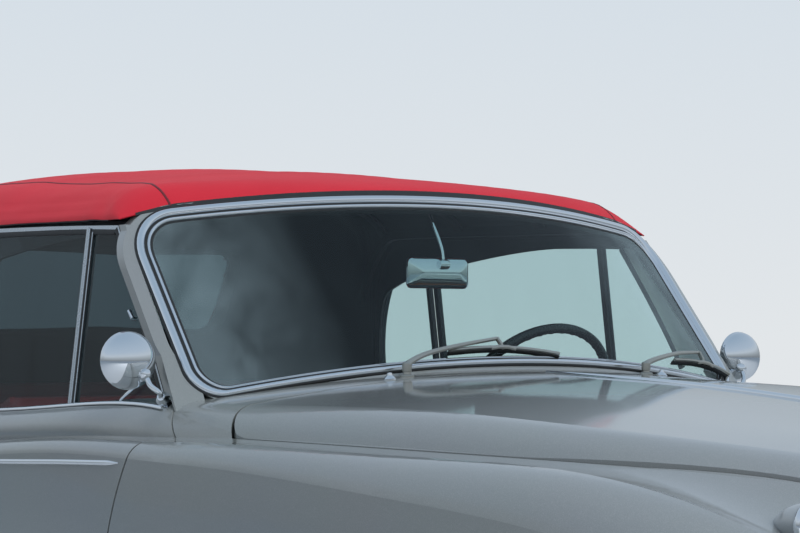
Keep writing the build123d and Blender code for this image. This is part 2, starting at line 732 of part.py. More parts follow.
def make_lamps():
    r = headlamp_radius
    rim_depth = 17.0
    dome = 28.0
    ball = (r**2 + dome**2) / (2 * dome)
    on_dome = (r * 0.55, -rim_depth - dome + ball - (ball**2 - (r * 0.55) ** 2) ** 0.5)
    lens = outline(
        Line((0, 0), (r + 14, 0)),
        Line((r + 14, 0), (r + 14, -8)),
        ThreePointArc((r + 14, -8), (r + 10, -15), (r, -rim_depth)),
        ThreePointArc((r, -rim_depth), on_dome, (0, -rim_depth - dome)),
        Line((0, -rim_depth - dome), (0, 0)),
    )
    lamp = lathe_y(lens, headlamp_x, headlamp_face_y - seat_gap, headlamp_z)
    add("headlamps", Compound(children=[lamp, mirror(lamp, Plane.YZ)]))
    w = wing_lamp_radius
    pod = outline(
        ThreePointArc((0, -34), (w * 0.62, -22), (w - 4, -4)),
        Line((w - 4, -4), (w, -4)),
        Line((w, -4), (w, 12)),
        ThreePointArc((w, 12), (w * 0.72, 50), (0, 84)),
        Line((0, 84), (0, -34)),
    )
    small = lathe_y(pod, *wing_lamp) - outer_form
    small = small.solids().sort_by(SortBy.VOLUME)[-1]
    add("wing_lamps", Compound(children=[small, mirror(small, Plane.YZ)]))
    tail = Pos(632, tail_y - 6, 640) * Box(92, 90, 168)
    tail = fillet(tail.edges(), 30) - outer_form
    tail = tail.solids().sort_by(SortBy.VOLUME)[-1]
    add("tail_lamps", Compound(children=[tail, mirror(tail, Plane.YZ)]))


def make_mirrors():
    """Round door mirrors: a domed head facing forward on a curved stem."""
    r = mirror_radius
    head_face = outline(
        Line((0, 12), (r - 3, 12)),
        ThreePointArc((r - 3, 12), (r, 8), (r, 4)),
        ThreePointArc((r, 4), (r * 0.72, -18), (0, -28)),
        Line((0, -28), (0, 12)),
    )
    head = lathe_y(head_face, *mirror_centre)
    ball = Pos(mirror_centre[0], mirror_centre[1] - 30, mirror_centre[2] - 6) * Sphere(9)
    foot = (772, -462, 955)
    knee = (800, -452, 1000)
    stem = rod(foot, knee, 6) + Pos(*knee) * Sphere(6)
    stem = stem + rod(knee, (mirror_centre[0], mirror_centre[1] - 30, mirror_centre[2] - 6), 6)
    base = Pos(foot[0], foot[1], foot[2] - 12) * Cylinder(15, 26)
    mirror_piece = (head + ball + stem + base) - outer_form
    add_pair("mirror", mirror_piece.solids().sort_by(SortBy.VOLUME)[-1])


def make_wipers():
    """Two cast arms, parked towards the car's left, with their blades on the glass."""
    arms = []
    for side in (1, -1):
        x = side * wiper_pivot[0]
        z = 1021.0
        hub = Pos(x, wiper_pivot[1], z + 10) * Cylinder(15, 44)
        tip = (x + 210, -592 + 0.35e-3 * (x + 210) ** 2, 1076)
        arm = rod((x, wiper_pivot[1], z + 30), tip, 7)
        along = Vector(1, 0.12 + 0.0006 * x, -0.03 - 0.00018 * x).normalized()
        mid = Vector(*tip)
        blade = rod(tuple(mid - along * 145), tuple(mid + along * 145), 6)
        arms.append((hub + arm + blade) - outer_form - parts["windscreen_surround"])
    solids = [a.solids().sort_by(SortBy.VOLUME)[-1] for a in arms]
    add("wipers", Compound(children=solids))


def make_interior():
    profile = polygon([(-572, 740), (-572, 948), (-430, 978), (-350, 962),
                       (-326, 930), (-322, 800), (-350, 742)])
    dash = side_prism(profile, -door_inner_x + 15, door_inner_x - 15)
    dash = fillet(dash.edges().filter_by(Axis.X).sort_by(Axis.Y)[-3:], 22)
    n = Vector(0, cos(radians(column_tilt)), sin(radians(column_tilt)))
    centre = Vector(*wheel_centre)
    far = centre - n * 520
    near = centre - n * (44 + seat_gap)
    column = rod(tuple(far), tuple(near), column_radius)
    column = column - block((-900, 900), (-900, cabin_front_y + seat_gap), (200, 1200))
    add("column", column)
    dash = dash - rod(tuple(far), tuple(centre), column_radius + seat_gap) - parts["scuttle"]
    dash = dash - screen_sheet(-500, 45)
    dash = dash.solids().sort_by(SortBy.VOLUME)[-1]
    add("dashboard", dash)
    plane = Plane(origin=wheel_centre, x_dir=(1, 0, 0), z_dir=tuple(n))
    rim = Torus(steering_rim_radius, steering_rim_thickness)
    hub = Pos(0, 0, -24) * Cylinder(34, 40)
    spokes = Pos(0, 0, -8) * Box(2 * steering_rim_radius, 34, 9)
    drop_spoke = Pos(0, -steering_rim_radius / 2, -8) * Box(30, steering_rim_radius, 9)
    add("steering_wheel", plane * (rim + hub + spokes + drop_spoke))
    seat = polygon([(40, floor_z + seat_gap), (40, 500), (60, 545), (520, 520), (640, 960),
                    (700, 985), (740, 960), (660, 520), (640, floor_z + seat_gap)])
    front_seat = side_prism(seat, 75, 625)
    front_seat = fillet(front_seat.edges().filter_by(Axis.X).sort_by(Axis.Z)[2:], 18)
    add_pair("front_seat", front_seat)
    bench_back = cabin_back_y - seat_gap
    bench = polygon([(1004, seat_rise_z + seat_gap), (1004, 640), (1330, 610), (1400, 960),
                     (bench_back, 960), (bench_back, seat_rise_z + seat_gap)])
    rear_seat = side_prism(bench, -wheel_house_x + 4, wheel_house_x - 4)
    add("rear_seat", fillet(rear_seat.edges().filter_by(Axis.X).sort_by(Axis.Z)[2:], 20))
    body = Pos(0, -315, 1243) * Box(118, 22, 52)
    body = fillet(body.edges(), 8)
    stalk = rod((0, -306, 1262), (0, -276, 1400), 5)
    glass_mirror = body + stalk
    keep_out = screen_sheet(-500, reveal_depth + seat_gap)
    add("interior_mirror", glass_mirror - keep_out)


def make_wheels():
    tread = 56.0
    shoulder = 68.0
    half = tyre_width / 2
    bead = 54.0
    tyre_edges = [
        Line((-bead, 167.95), (-20, 160.35)),
        Line((-20, 160.35), (20, 160.35)),
        Line((20, 160.35), (bead, 167.95)),
        Line((bead, 167.95), (58, rim_radius + 0.6)),
        Line((58, rim_radius + 0.6), (70, rim_radius + 2)),
        ThreePointArc((70, rim_radius + 2), (half, 250), (shoulder, 318)),
        ThreePointArc((shoulder, 318), (64.5, 327.5), (tread, 331.5)),
        ThreePointArc((tread, 331.5), (0, tyre_radius), (-tread, 331.5)),
        ThreePointArc((-tread, 331.5), (-64.5, 327.5), (-shoulder, 318)),
        ThreePointArc((-shoulder, 318), (-half, 250), (-70, rim_radius + 2)),
        Line((-70, rim_radius + 2), (-58, rim_radius + 0.6)),
        Line((-58, rim_radius + 0.6), (-bead, 167.95)),
    ]
    tyre_face = make_face(Wire(tyre_edges))
    bore = stub_radius + bore_clearance
    rim_points = [
        (24, 122), (14, 122), (14, 146), (22, 150), (60, 158), (72, 162), (72, 178), (60, 178),
        (56, 168), (20, 160), (-20, 160), (-56, 168), (-60, 178), (-72, 178), (-72, 162), (-60, 158),
        (-20, 148), (4, 148), (4, hub_inner), (-45, hub_inner), (-45, bore), (12, bore), (12, 0), (52, 0),
    ]
    edges = [Line(a, b) for a, b in zip(rim_points, rim_points[1:])]
    edges.append(ThreePointArc((52, 0), (44, 70), (24, 122)))
    rim_face = make_face(Wire(edges))
    for end, y in (("front", front_axle_y), ("rear", rear_axle_y)):
        add_pair(f"tyre_{end}", lathe_x(tyre_face, track_half, y, tyre_radius))
        add_pair(f"wheel_{end}", lathe_x(rim_face, track_half, y, tyre_radius))


def make_running_gear():
    """Crossmember, rails, arms and springs at the front, steering knuckles, and the rear axle."""
    low = tyre_radius - arm_level - arm_thickness - seat_gap
    high = tyre_radius + arm_level + seat_gap
    cross = block((-300, 300), (front_axle_y - 40, front_axle_y + 40), (250, 330))
    gear = cross
    for side in (1, -1):
        def span(a, b):
            return tuple(sorted((side * a, side * b)))
        rail = (bay_front_y + 105 + seat_gap, cabin_front_y - wall - seat_gap)
        gear = gear + block(span(290, 350), rail, (250, 310))
        gear = gear + block(span(290, 330), (front_axle_y - 40, front_axle_y + 40), (250, 620))
        gear = gear + block(span(320, 520), (front_axle_y - 55, front_axle_y + 55), (606, 620))
        gear = gear + Pos(side * 468, front_axle_y, 413) * Cylinder(44, 390)
        for z in (low, high):
            arm = polygon([(side * 300, front_axle_y - 85), (side * 300, front_axle_y + 85),
                           (side * kingpin_x, front_axle_y + 26), (side * kingpin_x, front_axle_y - 26)])
            gear = gear + plan_prism(arm, z, z + arm_thickness)
            boss = Cylinder(26, arm_thickness)
            gear = gear + Pos(side * kingpin_x, front_axle_y, z + arm_thickness / 2) * boss
    half = tow_eye_thickness / 2
    eye = rod((tow_eye[0] - half, *tow_eye[1:]), (tow_eye[0] + half, *tow_eye[1:]), tow_eye_bore + 11)
    leg_y = (tow_eye[1] - 23, tow_eye[1] + 23)
    eye = eye + block((tow_eye[0] - half, tow_eye[0] + half), leg_y, (tow_eye[2], 255))
    bore = rod((tow_eye[0] - 20, *tow_eye[1:]), (tow_eye[0] + 20, *tow_eye[1:]), tow_eye_bore)
    add("front_suspension", gear + (eye - bore))
    upright = Pos(kingpin_x, front_axle_y, tyre_radius) * Box(48, 48, 2 * arm_level)
    stub_end = (track_half + 7, front_axle_y, tyre_radius)
    stub = rod((kingpin_x, front_axle_y, tyre_radius), stub_end, stub_radius)
    hub_face = track_half - 45 - seat_gap
    drum = rod((660, front_axle_y, tyre_radius), (hub_face, front_axle_y, tyre_radius), drum_radius)
    add_pair("knuckle", upright + stub + drum)
    half_axle = [(0, 0), (0, 112), (60, 104), (112, 60), (130, 38), (590, 38), (590, drum_radius),
                 (hub_face, drum_radius), (hub_face, stub_radius), (track_half + 7, stub_radius),
                 (track_half + 7, 0)]
    right_half = [(-x, r) for x, r in reversed(half_axle[2:-1])]
    axle_face = polygon([(-track_half - 7, 0)] + right_half + half_axle[1:])
    axle = lathe_x(axle_face, 0, rear_axle_y, tyre_radius)
    for side in (1, -1):
        spring_top = axle_bay_z - seat_gap
        axle = axle + rod((side * 440, rear_axle_y, tyre_radius), (side * 440, rear_axle_y, spring_top), 48)
        x = side * 380
        arm_y = (axle_bay_front_y + seat_gap, rear_axle_y)
        axle = axle + block((x - 25, x + 25), arm_y, (tyre_radius - 30, tyre_radius + 10))
    add("rear_axle", axle)
    add("engine", block((-230, 230), (-1610, -830), (330 + seat_gap, 880)))
    pipe = rod((-350, -560, 200), (-350, 2310, 200), 22)
    silencer = rod((-350, 150, 189.7), (-350, 800, 189.7), 50)
    add("exhaust", (pipe + silencer) - outer_form)
    add("fuel_tank", block((-200, 360), (1620, 2060), (205, 330)) - outer_form)


outer_form = body_form(0.0)
inner_form = body_form(skin)
shell = body_shell()
make_lids(shell)
make_doors(shell)
make_fixed_panels(shell)
make_windscreen()
make_side_windows()
make_roof()
make_grille()
add("front_bumper", make_bumper(bumper_front_y, 1))
add("rear_bumper", make_bumper(bumper_rear_y, -1))
make_lamps()
make_mirrors()
make_wipers()
make_interior()
make_wheels()
make_running_gear()

for name, solid in parts.items():
    solid.label = name
    export_step(solid, f"parts/{name}.step")
    box = solid.bounding_box()
    print(name, len(solid.solids()), round(solid.volume), [round(v) for v in tuple(box.min) + tuple(box.max)])
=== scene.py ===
from math import atan2, cos, pi, radians, sin, sqrt, tan

import bmesh
import bpy
from mathutils import Matrix, Vector, noise
from mathutils.bvhtree import BVHTree


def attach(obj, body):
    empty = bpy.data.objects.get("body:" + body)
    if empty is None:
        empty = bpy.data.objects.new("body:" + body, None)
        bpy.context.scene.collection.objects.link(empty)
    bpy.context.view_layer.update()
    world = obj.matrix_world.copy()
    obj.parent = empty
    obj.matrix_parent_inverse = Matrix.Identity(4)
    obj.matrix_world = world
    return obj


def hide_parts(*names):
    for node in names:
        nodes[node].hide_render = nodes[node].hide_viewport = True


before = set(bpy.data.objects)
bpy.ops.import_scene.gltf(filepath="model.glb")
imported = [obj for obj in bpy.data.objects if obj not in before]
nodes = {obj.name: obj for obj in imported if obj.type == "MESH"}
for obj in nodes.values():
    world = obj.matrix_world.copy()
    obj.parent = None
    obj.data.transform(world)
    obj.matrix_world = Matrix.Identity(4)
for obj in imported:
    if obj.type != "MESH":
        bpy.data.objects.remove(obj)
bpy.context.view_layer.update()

# The studio: a pale floor, an even pale surround and three large soft lamps.
# The camera stands to the right of the nose, low and far off, with a long lens.


def to_linear(code):
    """An sRGB hex colour as the linear colour that a shader wants."""
    parts = [int(code[i:i + 2], 16) / 255 for i in (1, 3, 5)]
    return tuple(c / 12.92 if c <= 0.04045 else ((c + 0.055) / 1.055) ** 2.4 for c in parts) + (1.0,)


def add_node(tree, kind, settings=None):
    """Adds a node. A setting is a property, an input's value, or another node's output to link to that input."""
    made = tree.nodes.new("ShaderNode" + kind)
    for key, value in (settings or {}).items():
        if isinstance(value, bpy.types.NodeSocket):
            tree.links.new(value, made.inputs[key])
        elif isinstance(key, str) and key not in made.inputs:
            setattr(made, key, value)
        else:
            made.inputs[key].default_value = value
    return made


def new_finish(name):
    """An empty material of that name, its node tree, and the object's coordinates in it."""
    material = bpy.data.materials.new(name)
    material.use_nodes = True
    tree = material.node_tree
    tree.nodes.clear()
    return material, tree, add_node(tree, "TexCoord").outputs["Object"]


def maths(tree, operation, *values):
    """One step of arithmetic on numbers or on other nodes' outputs."""
    return add_node(tree, "Math", {"operation": operation, **dict(enumerate(values))}).outputs[0]


def spread(tree, value, low, high, from_low=0.0, from_high=1.0):
    """A value carried from one span over to another."""
    spans = {"From Min": from_low, "From Max": from_high, "To Min": low, "To Max": high}
    return add_node(tree, "MapRange", {**spans, "Value": value}).outputs[0]


def ramp_of(tree, share, stops):
    """A run of colours from (place, colour) stops."""
    ramp = add_node(tree, "ValToRGB", {0: share})
    elements = ramp.color_ramp.elements
    for index, (place, code) in enumerate(stops):
        element = elements[index] if index < 2 else elements.new(place)
        element.position, element.color = place, to_linear(code)
    return ramp.outputs["Color"]


def mixed_skins(tree, share, first, second):
    """Two surfaces mixed by a share of the second."""
    return add_node(tree, "MixShader", {0: share, 1: first.outputs[0], 2: second.outputs[0]})


def finish_off(tree, surface):
    """Makes a surface the one that the material shows."""
    add_node(tree, "OutputMaterial", {0: surface.outputs[0]})


scene = bpy.context.scene
scene.view_settings.view_transform = "Standard"
camera = bpy.data.objects.new("camera", bpy.data.cameras.new("camera"))
scene.collection.objects.link(camera)
yaw, pitch, roll = radians(33.274), radians(1.910), radians(-0.066)
ahead = Vector((sin(yaw) * cos(pitch), cos(yaw) * cos(pitch), sin(pitch)))
right = Vector((cos(yaw), -sin(yaw), 0))
above = right.cross(ahead)
camera_axes = (right * cos(roll) + above * sin(roll), above * cos(roll) - right * sin(roll), -ahead)
camera_place = (-2.804, -4.426, 1.092)
camera.matrix_world = Matrix.Translation(camera_place) @ Matrix(camera_axes).transposed().to_4x4()
camera.data.lens = 101.06
camera.data.sensor_width = 36.0
camera.data.clip_end = 200
scene.camera = camera

horizon = "#e2e6e9"
world = bpy.data.worlds.new("studio")
scene.world = world
world.use_nodes = True
sky = world.node_tree
sky.nodes.clear()
direction = add_node(sky, "TexCoord").outputs["Generated"]
height = add_node(sky, "SeparateXYZ", {0: direction}).outputs["Z"]
seen_sky = ramp_of(sky, height, ((0.0, horizon), (0.15, "#d6dfe7"), (0.3, "#b5c5d4"), (0.55, "#a2b6cb"),
                                 (1.0, "#9fb4c9")))
lit_sky = ramp_of(sky, height, ((0.0, "#858c92"), (0.12, "#aab3ba"), (0.22, "#c3ced8"), (0.4, "#b5c5d6"),
                                (1.0, "#9fb4c9")))
seen = add_node(sky, "LightPath").outputs["Is Camera Ray"]
sky_colour = add_node(sky, "Mix", {"data_type": "RGBA", 0: seen, 6: lit_sky, 7: seen_sky})
glow = add_node(sky, "Background", {"Strength": 1.0, "Color": sky_colour.outputs[2]})
add_node(sky, "OutputWorld", {"Surface": glow.outputs[0]})


def add_lamp(name, place, target, size, power):
    """A large soft lamp at a place, facing a target."""
    data = bpy.data.lights.new(name, "AREA")
    data.shape = "RECTANGLE"
    data.size, data.size_y = size
    data.energy = power
    lamp = bpy.data.objects.new(name, data)
    lamp.location = place
    lamp.rotation_euler = (Vector(target) - Vector(place)).to_track_quat("-Z", "Y").to_euler()
    lamp.visible_glossy = False
    scene.collection.objects.link(lamp)


add_lamp("key", (-1.6, -8.5, 5.0), (0, -0.4, 1.0), (4.0, 3.0), 640)
add_lamp("fill", (6.5, -3.0, 5.0), (0, 0, 0.8), (4.0, 3.0), 100)
add_lamp("top", (-1.0, 1.0, 7.5), (0, 0, 1.2), (5.0, 5.0), 240)

floor_finish, tree, place = new_finish("painted studio floor")
grain = add_node(tree, "TexNoise", {"Scale": 3.0, "Detail": 3.0}).outputs["Fac"]
floor_paint = add_node(tree, "BsdfPrincipled",
                       {"Base Color": to_linear("#b0b3b6"), "Roughness": spread(tree, grain, 0.55, 0.6, 0.3, 0.7)})
distance = add_node(tree, "VectorMath", {"operation": "LENGTH", 0: place}).outputs["Value"]
fade = add_node(tree, "MapRange",
                {"interpolation_type": "SMOOTHSTEP", "From Min": 5.0, "From Max": 15.0, "Value": distance})
far_off = maths(tree, "MULTIPLY", fade.outputs[0], add_node(tree, "LightPath").outputs["Is Camera Ray"])
backdrop = add_node(tree, "Emission", {"Color": to_linear(horizon), "Strength": 1.0})
finish_off(tree, mixed_skins(tree, far_off, floor_paint, backdrop))
floor_mesh = bpy.data.meshes.new("studio_floor")
reach = 60
floor_corners = [(-reach, -reach, 0), (reach, -reach, 0), (reach, reach, 0), (-reach, reach, 0)]
floor_mesh.from_pydata(floor_corners, [], [(0, 1, 2, 3)])
floor_mesh.materials.append(floor_finish)
studio_floor = bpy.data.objects.new("studio_floor", floor_mesh)
scene.collection.objects.link(studio_floor)

# Body panels: pressed steel, welded, filled and sprayed in silver grey with a clear coat on top.
# The shapes are the CAD panels; the paint's flakes sparkle and its coat mirrors the studio.


def pattern(tree, place, kind, settings):
    """A Noise, Voronoi or Wave pattern over the object, as a grey value."""
    made = add_node(tree, "Tex" + kind, {**settings, "Vector": place})
    return made.outputs["Distance" if kind == "Voronoi" else "Fac"]


def two_tones(tree, share, first, second):
    """A colour between two, by a share."""
    return add_node(tree, "Mix", {"data_type": "RGBA", 0: share, 6: to_linear(first), 7: to_linear(second)}).outputs[2]


def mottled(tree, colour, by, share):
    """A colour darkened in places by the colours of a pattern."""
    return add_node(tree, "Mix", {"data_type": "RGBA", "blend_type": "MULTIPLY", 0: share, 6: colour, 7: by}).outputs[2]


def relief(tree, height, strength, depth):
    """A height in metres turned into a surface's small relief."""
    return add_node(tree, "Bump", {"Strength": strength, "Distance": depth, "Height": height}).outputs[0]


def one_pattern(name, kind, settings, skin, tones=None, rough=None, bumps=None):
    """A finish from one pattern, which can mix two tones, set the roughness within a span, and give the relief."""
    finish, tree, place = new_finish(name)
    grain = pattern(tree, place, kind, settings)
    skin = dict(skin)
    if tones:
        skin["Base Color"] = two_tones(tree, grain, *tones)
    if rough:
        skin["Roughness"] = spread(tree, grain, *rough)
    if bumps:
        skin["Normal"] = relief(tree, grain, *bumps)
    finish_off(tree, add_node(tree, "BsdfPrincipled", skin))
    return finish


paint, tree, place = new_finish("silver grey metallic lacquer")
flakes = two_tones(tree, pattern(tree, place, "Voronoi", {"Scale": 700.0}), "#737879", "#898d8c")
cloud = add_node(tree, "TexNoise", {"Scale": 2.5, "Detail": 4.0, "Vector": place}).outputs["Color"]
peel = relief(tree, pattern(tree, place, "Noise", {"Scale": 140.0, "Detail": 2.0}), 0.012, 0.001)
finish_off(tree, add_node(tree, "BsdfPrincipled", {
    "Base Color": mottled(tree, flakes, cloud, 0.08), "Metallic": 0.3, "Roughness": 0.34, "Coat Weight": 1.0,
    "Coat Roughness": 0.06, "Normal": peel, "Coat Normal": peel}))
underseal = one_pattern("sprayed black underseal", "Noise", {"Scale": 90.0, "Detail": 5.0}, {"Roughness": 0.85},
                        tones=("#1c1c1d", "#3a3733"), bumps=(0.5, 0.003))


def dress(finish, *names):
    """Gives CAD nodes their finish."""
    for name in names:
        slots = nodes[name].data.materials
        if len(slots) == 0:
            slots.append(finish)
        for index in range(len(slots)):
            slots[index] = finish


dress(paint, "bonnet", "boot_lid", "door_left", "door_right", "wing_left", "wing_right", "nose", "scuttle",
      "quarter_left", "quarter_right", "tail", "deck")
dress(underseal, "floor", "rear_floor", "fuel_tank", "rear_axle", "front_suspension", "knuckle_left", "knuckle_right",
      "engine", "exhaust")

# Bright trim strips on the flanks and lids: rolled brass, chromium plated, clipped through the panel.
# Each follows the panel under it, and its ends taper to a point.

MM = 0.001
SIDES = ((1, "left"), (-1, "right"))
chrome = one_pattern("chromium plate on brass", "Noise", {"Scale": 25.0, "Detail": 6.0},
                     {"Base Color": to_linear("#e6e9ec"), "Metallic": 1.0}, rough=(0.03, 0.11, 0.4, 0.75))


def piece(name, shape, finish, body, swap=(), smooth_to=38):
    """A piece from points in millimetres and faces, with its finish, riding on a body."""
    points, faces = shape
    mesh = bpy.data.meshes.new(name)
    mesh.from_pydata([tuple(c * MM for c in p) for p in points], [], faces)
    mesh.materials.append(finish)
    tidy = bmesh.new()
    tidy.from_mesh(mesh)
    bmesh.ops.remove_doubles(tidy, verts=tidy.verts, dist=0.00002)
    bmesh.ops.recalc_face_normals(tidy, faces=tidy.faces)
    tidy.to_mesh(mesh)
    tidy.free()
    mesh.polygons.foreach_set("use_smooth", [True] * len(mesh.polygons))
    mesh.set_sharp_from_angle(angle=radians(smooth_to))
    made = bpy.data.objects.new(name, mesh)
    scene.collection.objects.link(made)
    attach(made, body)
    if swap:
        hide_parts(*swap)
    return made


def tube_faces(rows, ring, closed=False):
    """Faces over equal rings of points in a row: closed joins the last ring to the first, and open ends get lids."""
    faces = [] if closed else [tuple(range(ring)), tuple(range((rows - 1) * ring, rows * ring))]
    for i in range(rows if closed else rows - 1):
        a, b = i * ring, (i + 1) % rows * ring
        faces += [(a + k, a + (k + 1) % ring, b + (k + 1) % ring, b + k) for k in range(ring)]
    return faces


def smooth_line(points, steps):
    """A soft curve through points, with that many steps between neighbours."""
    line = [Vector(p) for p in points]
    line = [line[0] * 2 - line[1]] + line + [line[-1] * 2 - line[-2]]
    made = []
    for i in range(1, len(line) - 2):
        a, b, c, d = line[i - 1:i + 3]
        for step in range(steps):
            t = step / steps
            made.append(0.5 * ((2 * b) + (c - a) * t + (2 * a - 5 * b + 4 * c - d) * t * t
                               + (3 * b - a - 3 * c + d) * t**3))
    made.append(line[-2])
    return made


def sweep(path, section, ups, scale=None):
    """A section of (across, up) points carried along a path; ups is one direction or one for each point."""
    path = [Vector(p) for p in path]
    points = []
    for i, p in enumerate(path):
        along = (path[min(i + 1, len(path) - 1)] - path[max(i - 1, 0)]).normalized()
        across = along.cross(Vector(ups[i] if isinstance(ups, list) else ups)).normalized()
        up = across.cross(along).normalized()
        wide, high = scale[i] if scale else (1, 1)
        points += [p + across * (u * wide) + up * (v * high) for u, v in section]
    return points, tube_faces(len(path), len(section))


def half_round(width, height, sides=8):
    """A domed strip: flat underneath, round on top."""
    dome = [(width / 2 * cos(pi * k / sides), height * sin(pi * k / sides)) for k in range(sides + 1)]
    return dome + [(-width / 2, -1.5), (width / 2, -1.5)]


skins = {}


def skin_of(*names):
    """The CAD panels of those names, ready to be touched by a ray."""
    if names not in skins:
        build = bmesh.new()
        for name in names:
            build.from_mesh(nodes[name].data)
        skins[names] = BVHTree.FromBMesh(build)
        build.free()
    return skins[names]


def on_flank(names, y, z, side=1):
    """The point of a side panel at that length and height, in millimetres, and its outward direction."""
    hit, normal, _, _ = skin_of(*names).ray_cast(Vector((side * 1.2, y * MM, z * MM)), Vector((-side, 0, 0)))
    return hit / MM, normal


def flank_strip(names, stations, side, width, height):
    """A strip along a side panel, through (y, z) stations, with tapered ends."""
    path, ups, scale = [], [], []
    line = smooth_line([(0, y, z) for y, z in stations], 8)
    for i, p in enumerate(line):
        point, normal = on_flank(names, p.y, p.z, side)
        path.append(point)
        ups.append(normal)
        near_end = min(i, len(line) - 1 - i) / 6
        scale.append((min(1, 0.25 + near_end), min(1, 0.35 + near_end)))
    return sweep(path, half_round(width, height), ups, scale=scale)


for side, word in SIDES:
    door_line = [(-490, 857.5), (-400, 854.5), (-213, 848), (93, 835.5), (400, 826), (756, 818)]
    strip = flank_strip((f"door_{word}",), door_line, side, 11, 5)
    piece(f"door_strip_{word}", strip, chrome, f"door_{word}")

# Windscreen: laminated glass in a black rubber channel, framed by two beads of chromium-plated brass.
# The frame lies on the raked and bowed sheet that the glass follows, and its beads run round as one loop.

SCREEN_BASE = (-615.0, 1040.7)
SCREEN_RAKE = tan(radians(41.7))
SCREEN_BOW = 0.358e-3


def screen_point(x, z, depth=0.0):
    """A point on the windscreen's sheet, or some way behind it."""
    return Vector((x, SCREEN_BASE[0] + (z - SCREEN_BASE[1]) * SCREEN_RAKE + SCREEN_BOW * x * x + depth, z))


def screen_normal(x):
    """The way that the windscreen's sheet faces, forwards and up."""
    return Vector((2 * SCREEN_BOW * x, -1, SCREEN_RAKE)).normalized()


def screen_edge(side_in, low_in, high_in, low_radius, high_radius, steps=14):
    """The frame's outline from the front, as (x, z) points, drawn in by some millimetres."""
    low_half, high_half = 711.0 - side_in, 705.5 - side_in
    low_mid, high_mid = 1040.7 + low_in, 1413.3 - high_in
    low_fall, high_fall = 0.1440e-3, 0.1096e-3

    def corner(x, mid, fall, side_end, radius):
        """A round corner between a bowed edge and the straight side, from the edge to the side."""
        end = Vector((x, mid - fall * x * x))
        up = (Vector(side_end) - end).normalized()
        inward = (Vector((x - radius, mid - fall * (x - radius) ** 2)) - end).normalized()
        half_angle = up.angle(inward) / 2
        reach_along = radius / tan(half_angle)
        centre = end + (up + inward).normalized() * (radius / sin(half_angle))
        a, b = end + inward * reach_along - centre, end + up * reach_along - centre
        start, finish = atan2(a.y, a.x), atan2(b.y, b.x)
        sweep_angle = (finish - start + pi) % (2 * pi) - pi
        return [centre + Vector((cos(start + sweep_angle * k / steps), sin(start + sweep_angle * k / steps))) * radius
                for k in range(steps + 1)]

    def bowed_edge(end_x, mid, fall):
        """The bowed edge between its two corners."""
        shares = (k / (3 * steps) * 2 - 1 for k in range(1, 3 * steps))
        return [Vector((end_x * s, mid - fall * (end_x * s) ** 2)) for s in shares]

    low_end = (low_half, low_mid - low_fall * low_half**2)
    high_end = (high_half, high_mid - high_fall * high_half**2)
    low = corner(low_half, low_mid, low_fall, high_end, low_radius)
    high = list(reversed(corner(high_half, high_mid, high_fall, low_end, high_radius)))
    left = low + [low[-1].lerp(high[0], k / steps) for k in range(1, steps)] + high
    right_side = [Vector((-p.x, p.y)) for p in reversed(left)]
    return bowed_edge(low[0].x, low_mid, low_fall) + left + bowed_edge(-high[-1].x, high_mid, high_fall) + right_side


screen_outer = screen_edge(0, 0, 0, 52, 118)
screen_inner = screen_edge(34, 21, 28, 40, 76)


def screen_bead(section):
    """A bead round the windscreen. A section point is how far in, from 0 at the outer edge to 1, and how far out."""
    points = []
    for a, b in zip(screen_outer, screen_inner):
        outer, inner = screen_point(a.x, a.y), screen_point(b.x, b.y)
        normal = screen_normal((a.x + b.x) / 2)
        points += [outer.lerp(inner, s) + normal * h for s, h in section]
    return points, tube_faces(len(screen_outer), len(section), closed=True)


rubber = one_pattern("black extruded rubber seal", "Noise", {"Scale": 60.0, "Detail": 5.0}, {},
                     tones=("#141516", "#2a2b2c"), rough=(0.45, 0.7))

outer_bead = [(0.07, -6), (0.07, 3), (0.11, 6.4), (0.18, 9.0), (0.27, 10.4), (0.36, 10.2), (0.45, 8.6), (0.53, 5.6),
              (0.58, 2.0), (0.58, -6)]
inner_bead = [(0.70, -6), (0.70, 1.5), (0.73, 4.0), (0.79, 5.4), (0.85, 4.8), (0.90, 2.4), (0.93, -1.0), (0.93, -6)]
seal = [(-0.04, 1.5), (-0.03, 4.0), (0.02, 5.2), (0.08, 4.4), (0.09, 0), (0.56, 0), (0.56, 2.6), (0.63, 3.4),
        (0.70, 2.6), (0.72, -1), (0.91, -1), (0.93, -0.4), (1.02, -0.8), (1.06, -2.4), (1.06, -14), (0.9, -16),
        (0.3, -16), (-0.04, 0)]
piece("windscreen_bead_outer", screen_bead(outer_bead), chrome, "body", swap=("windscreen_surround",))
piece("windscreen_bead_inner", screen_bead(inner_bead), chrome, "body")
piece("windscreen_seal", screen_bead(seal), rubber, "body")


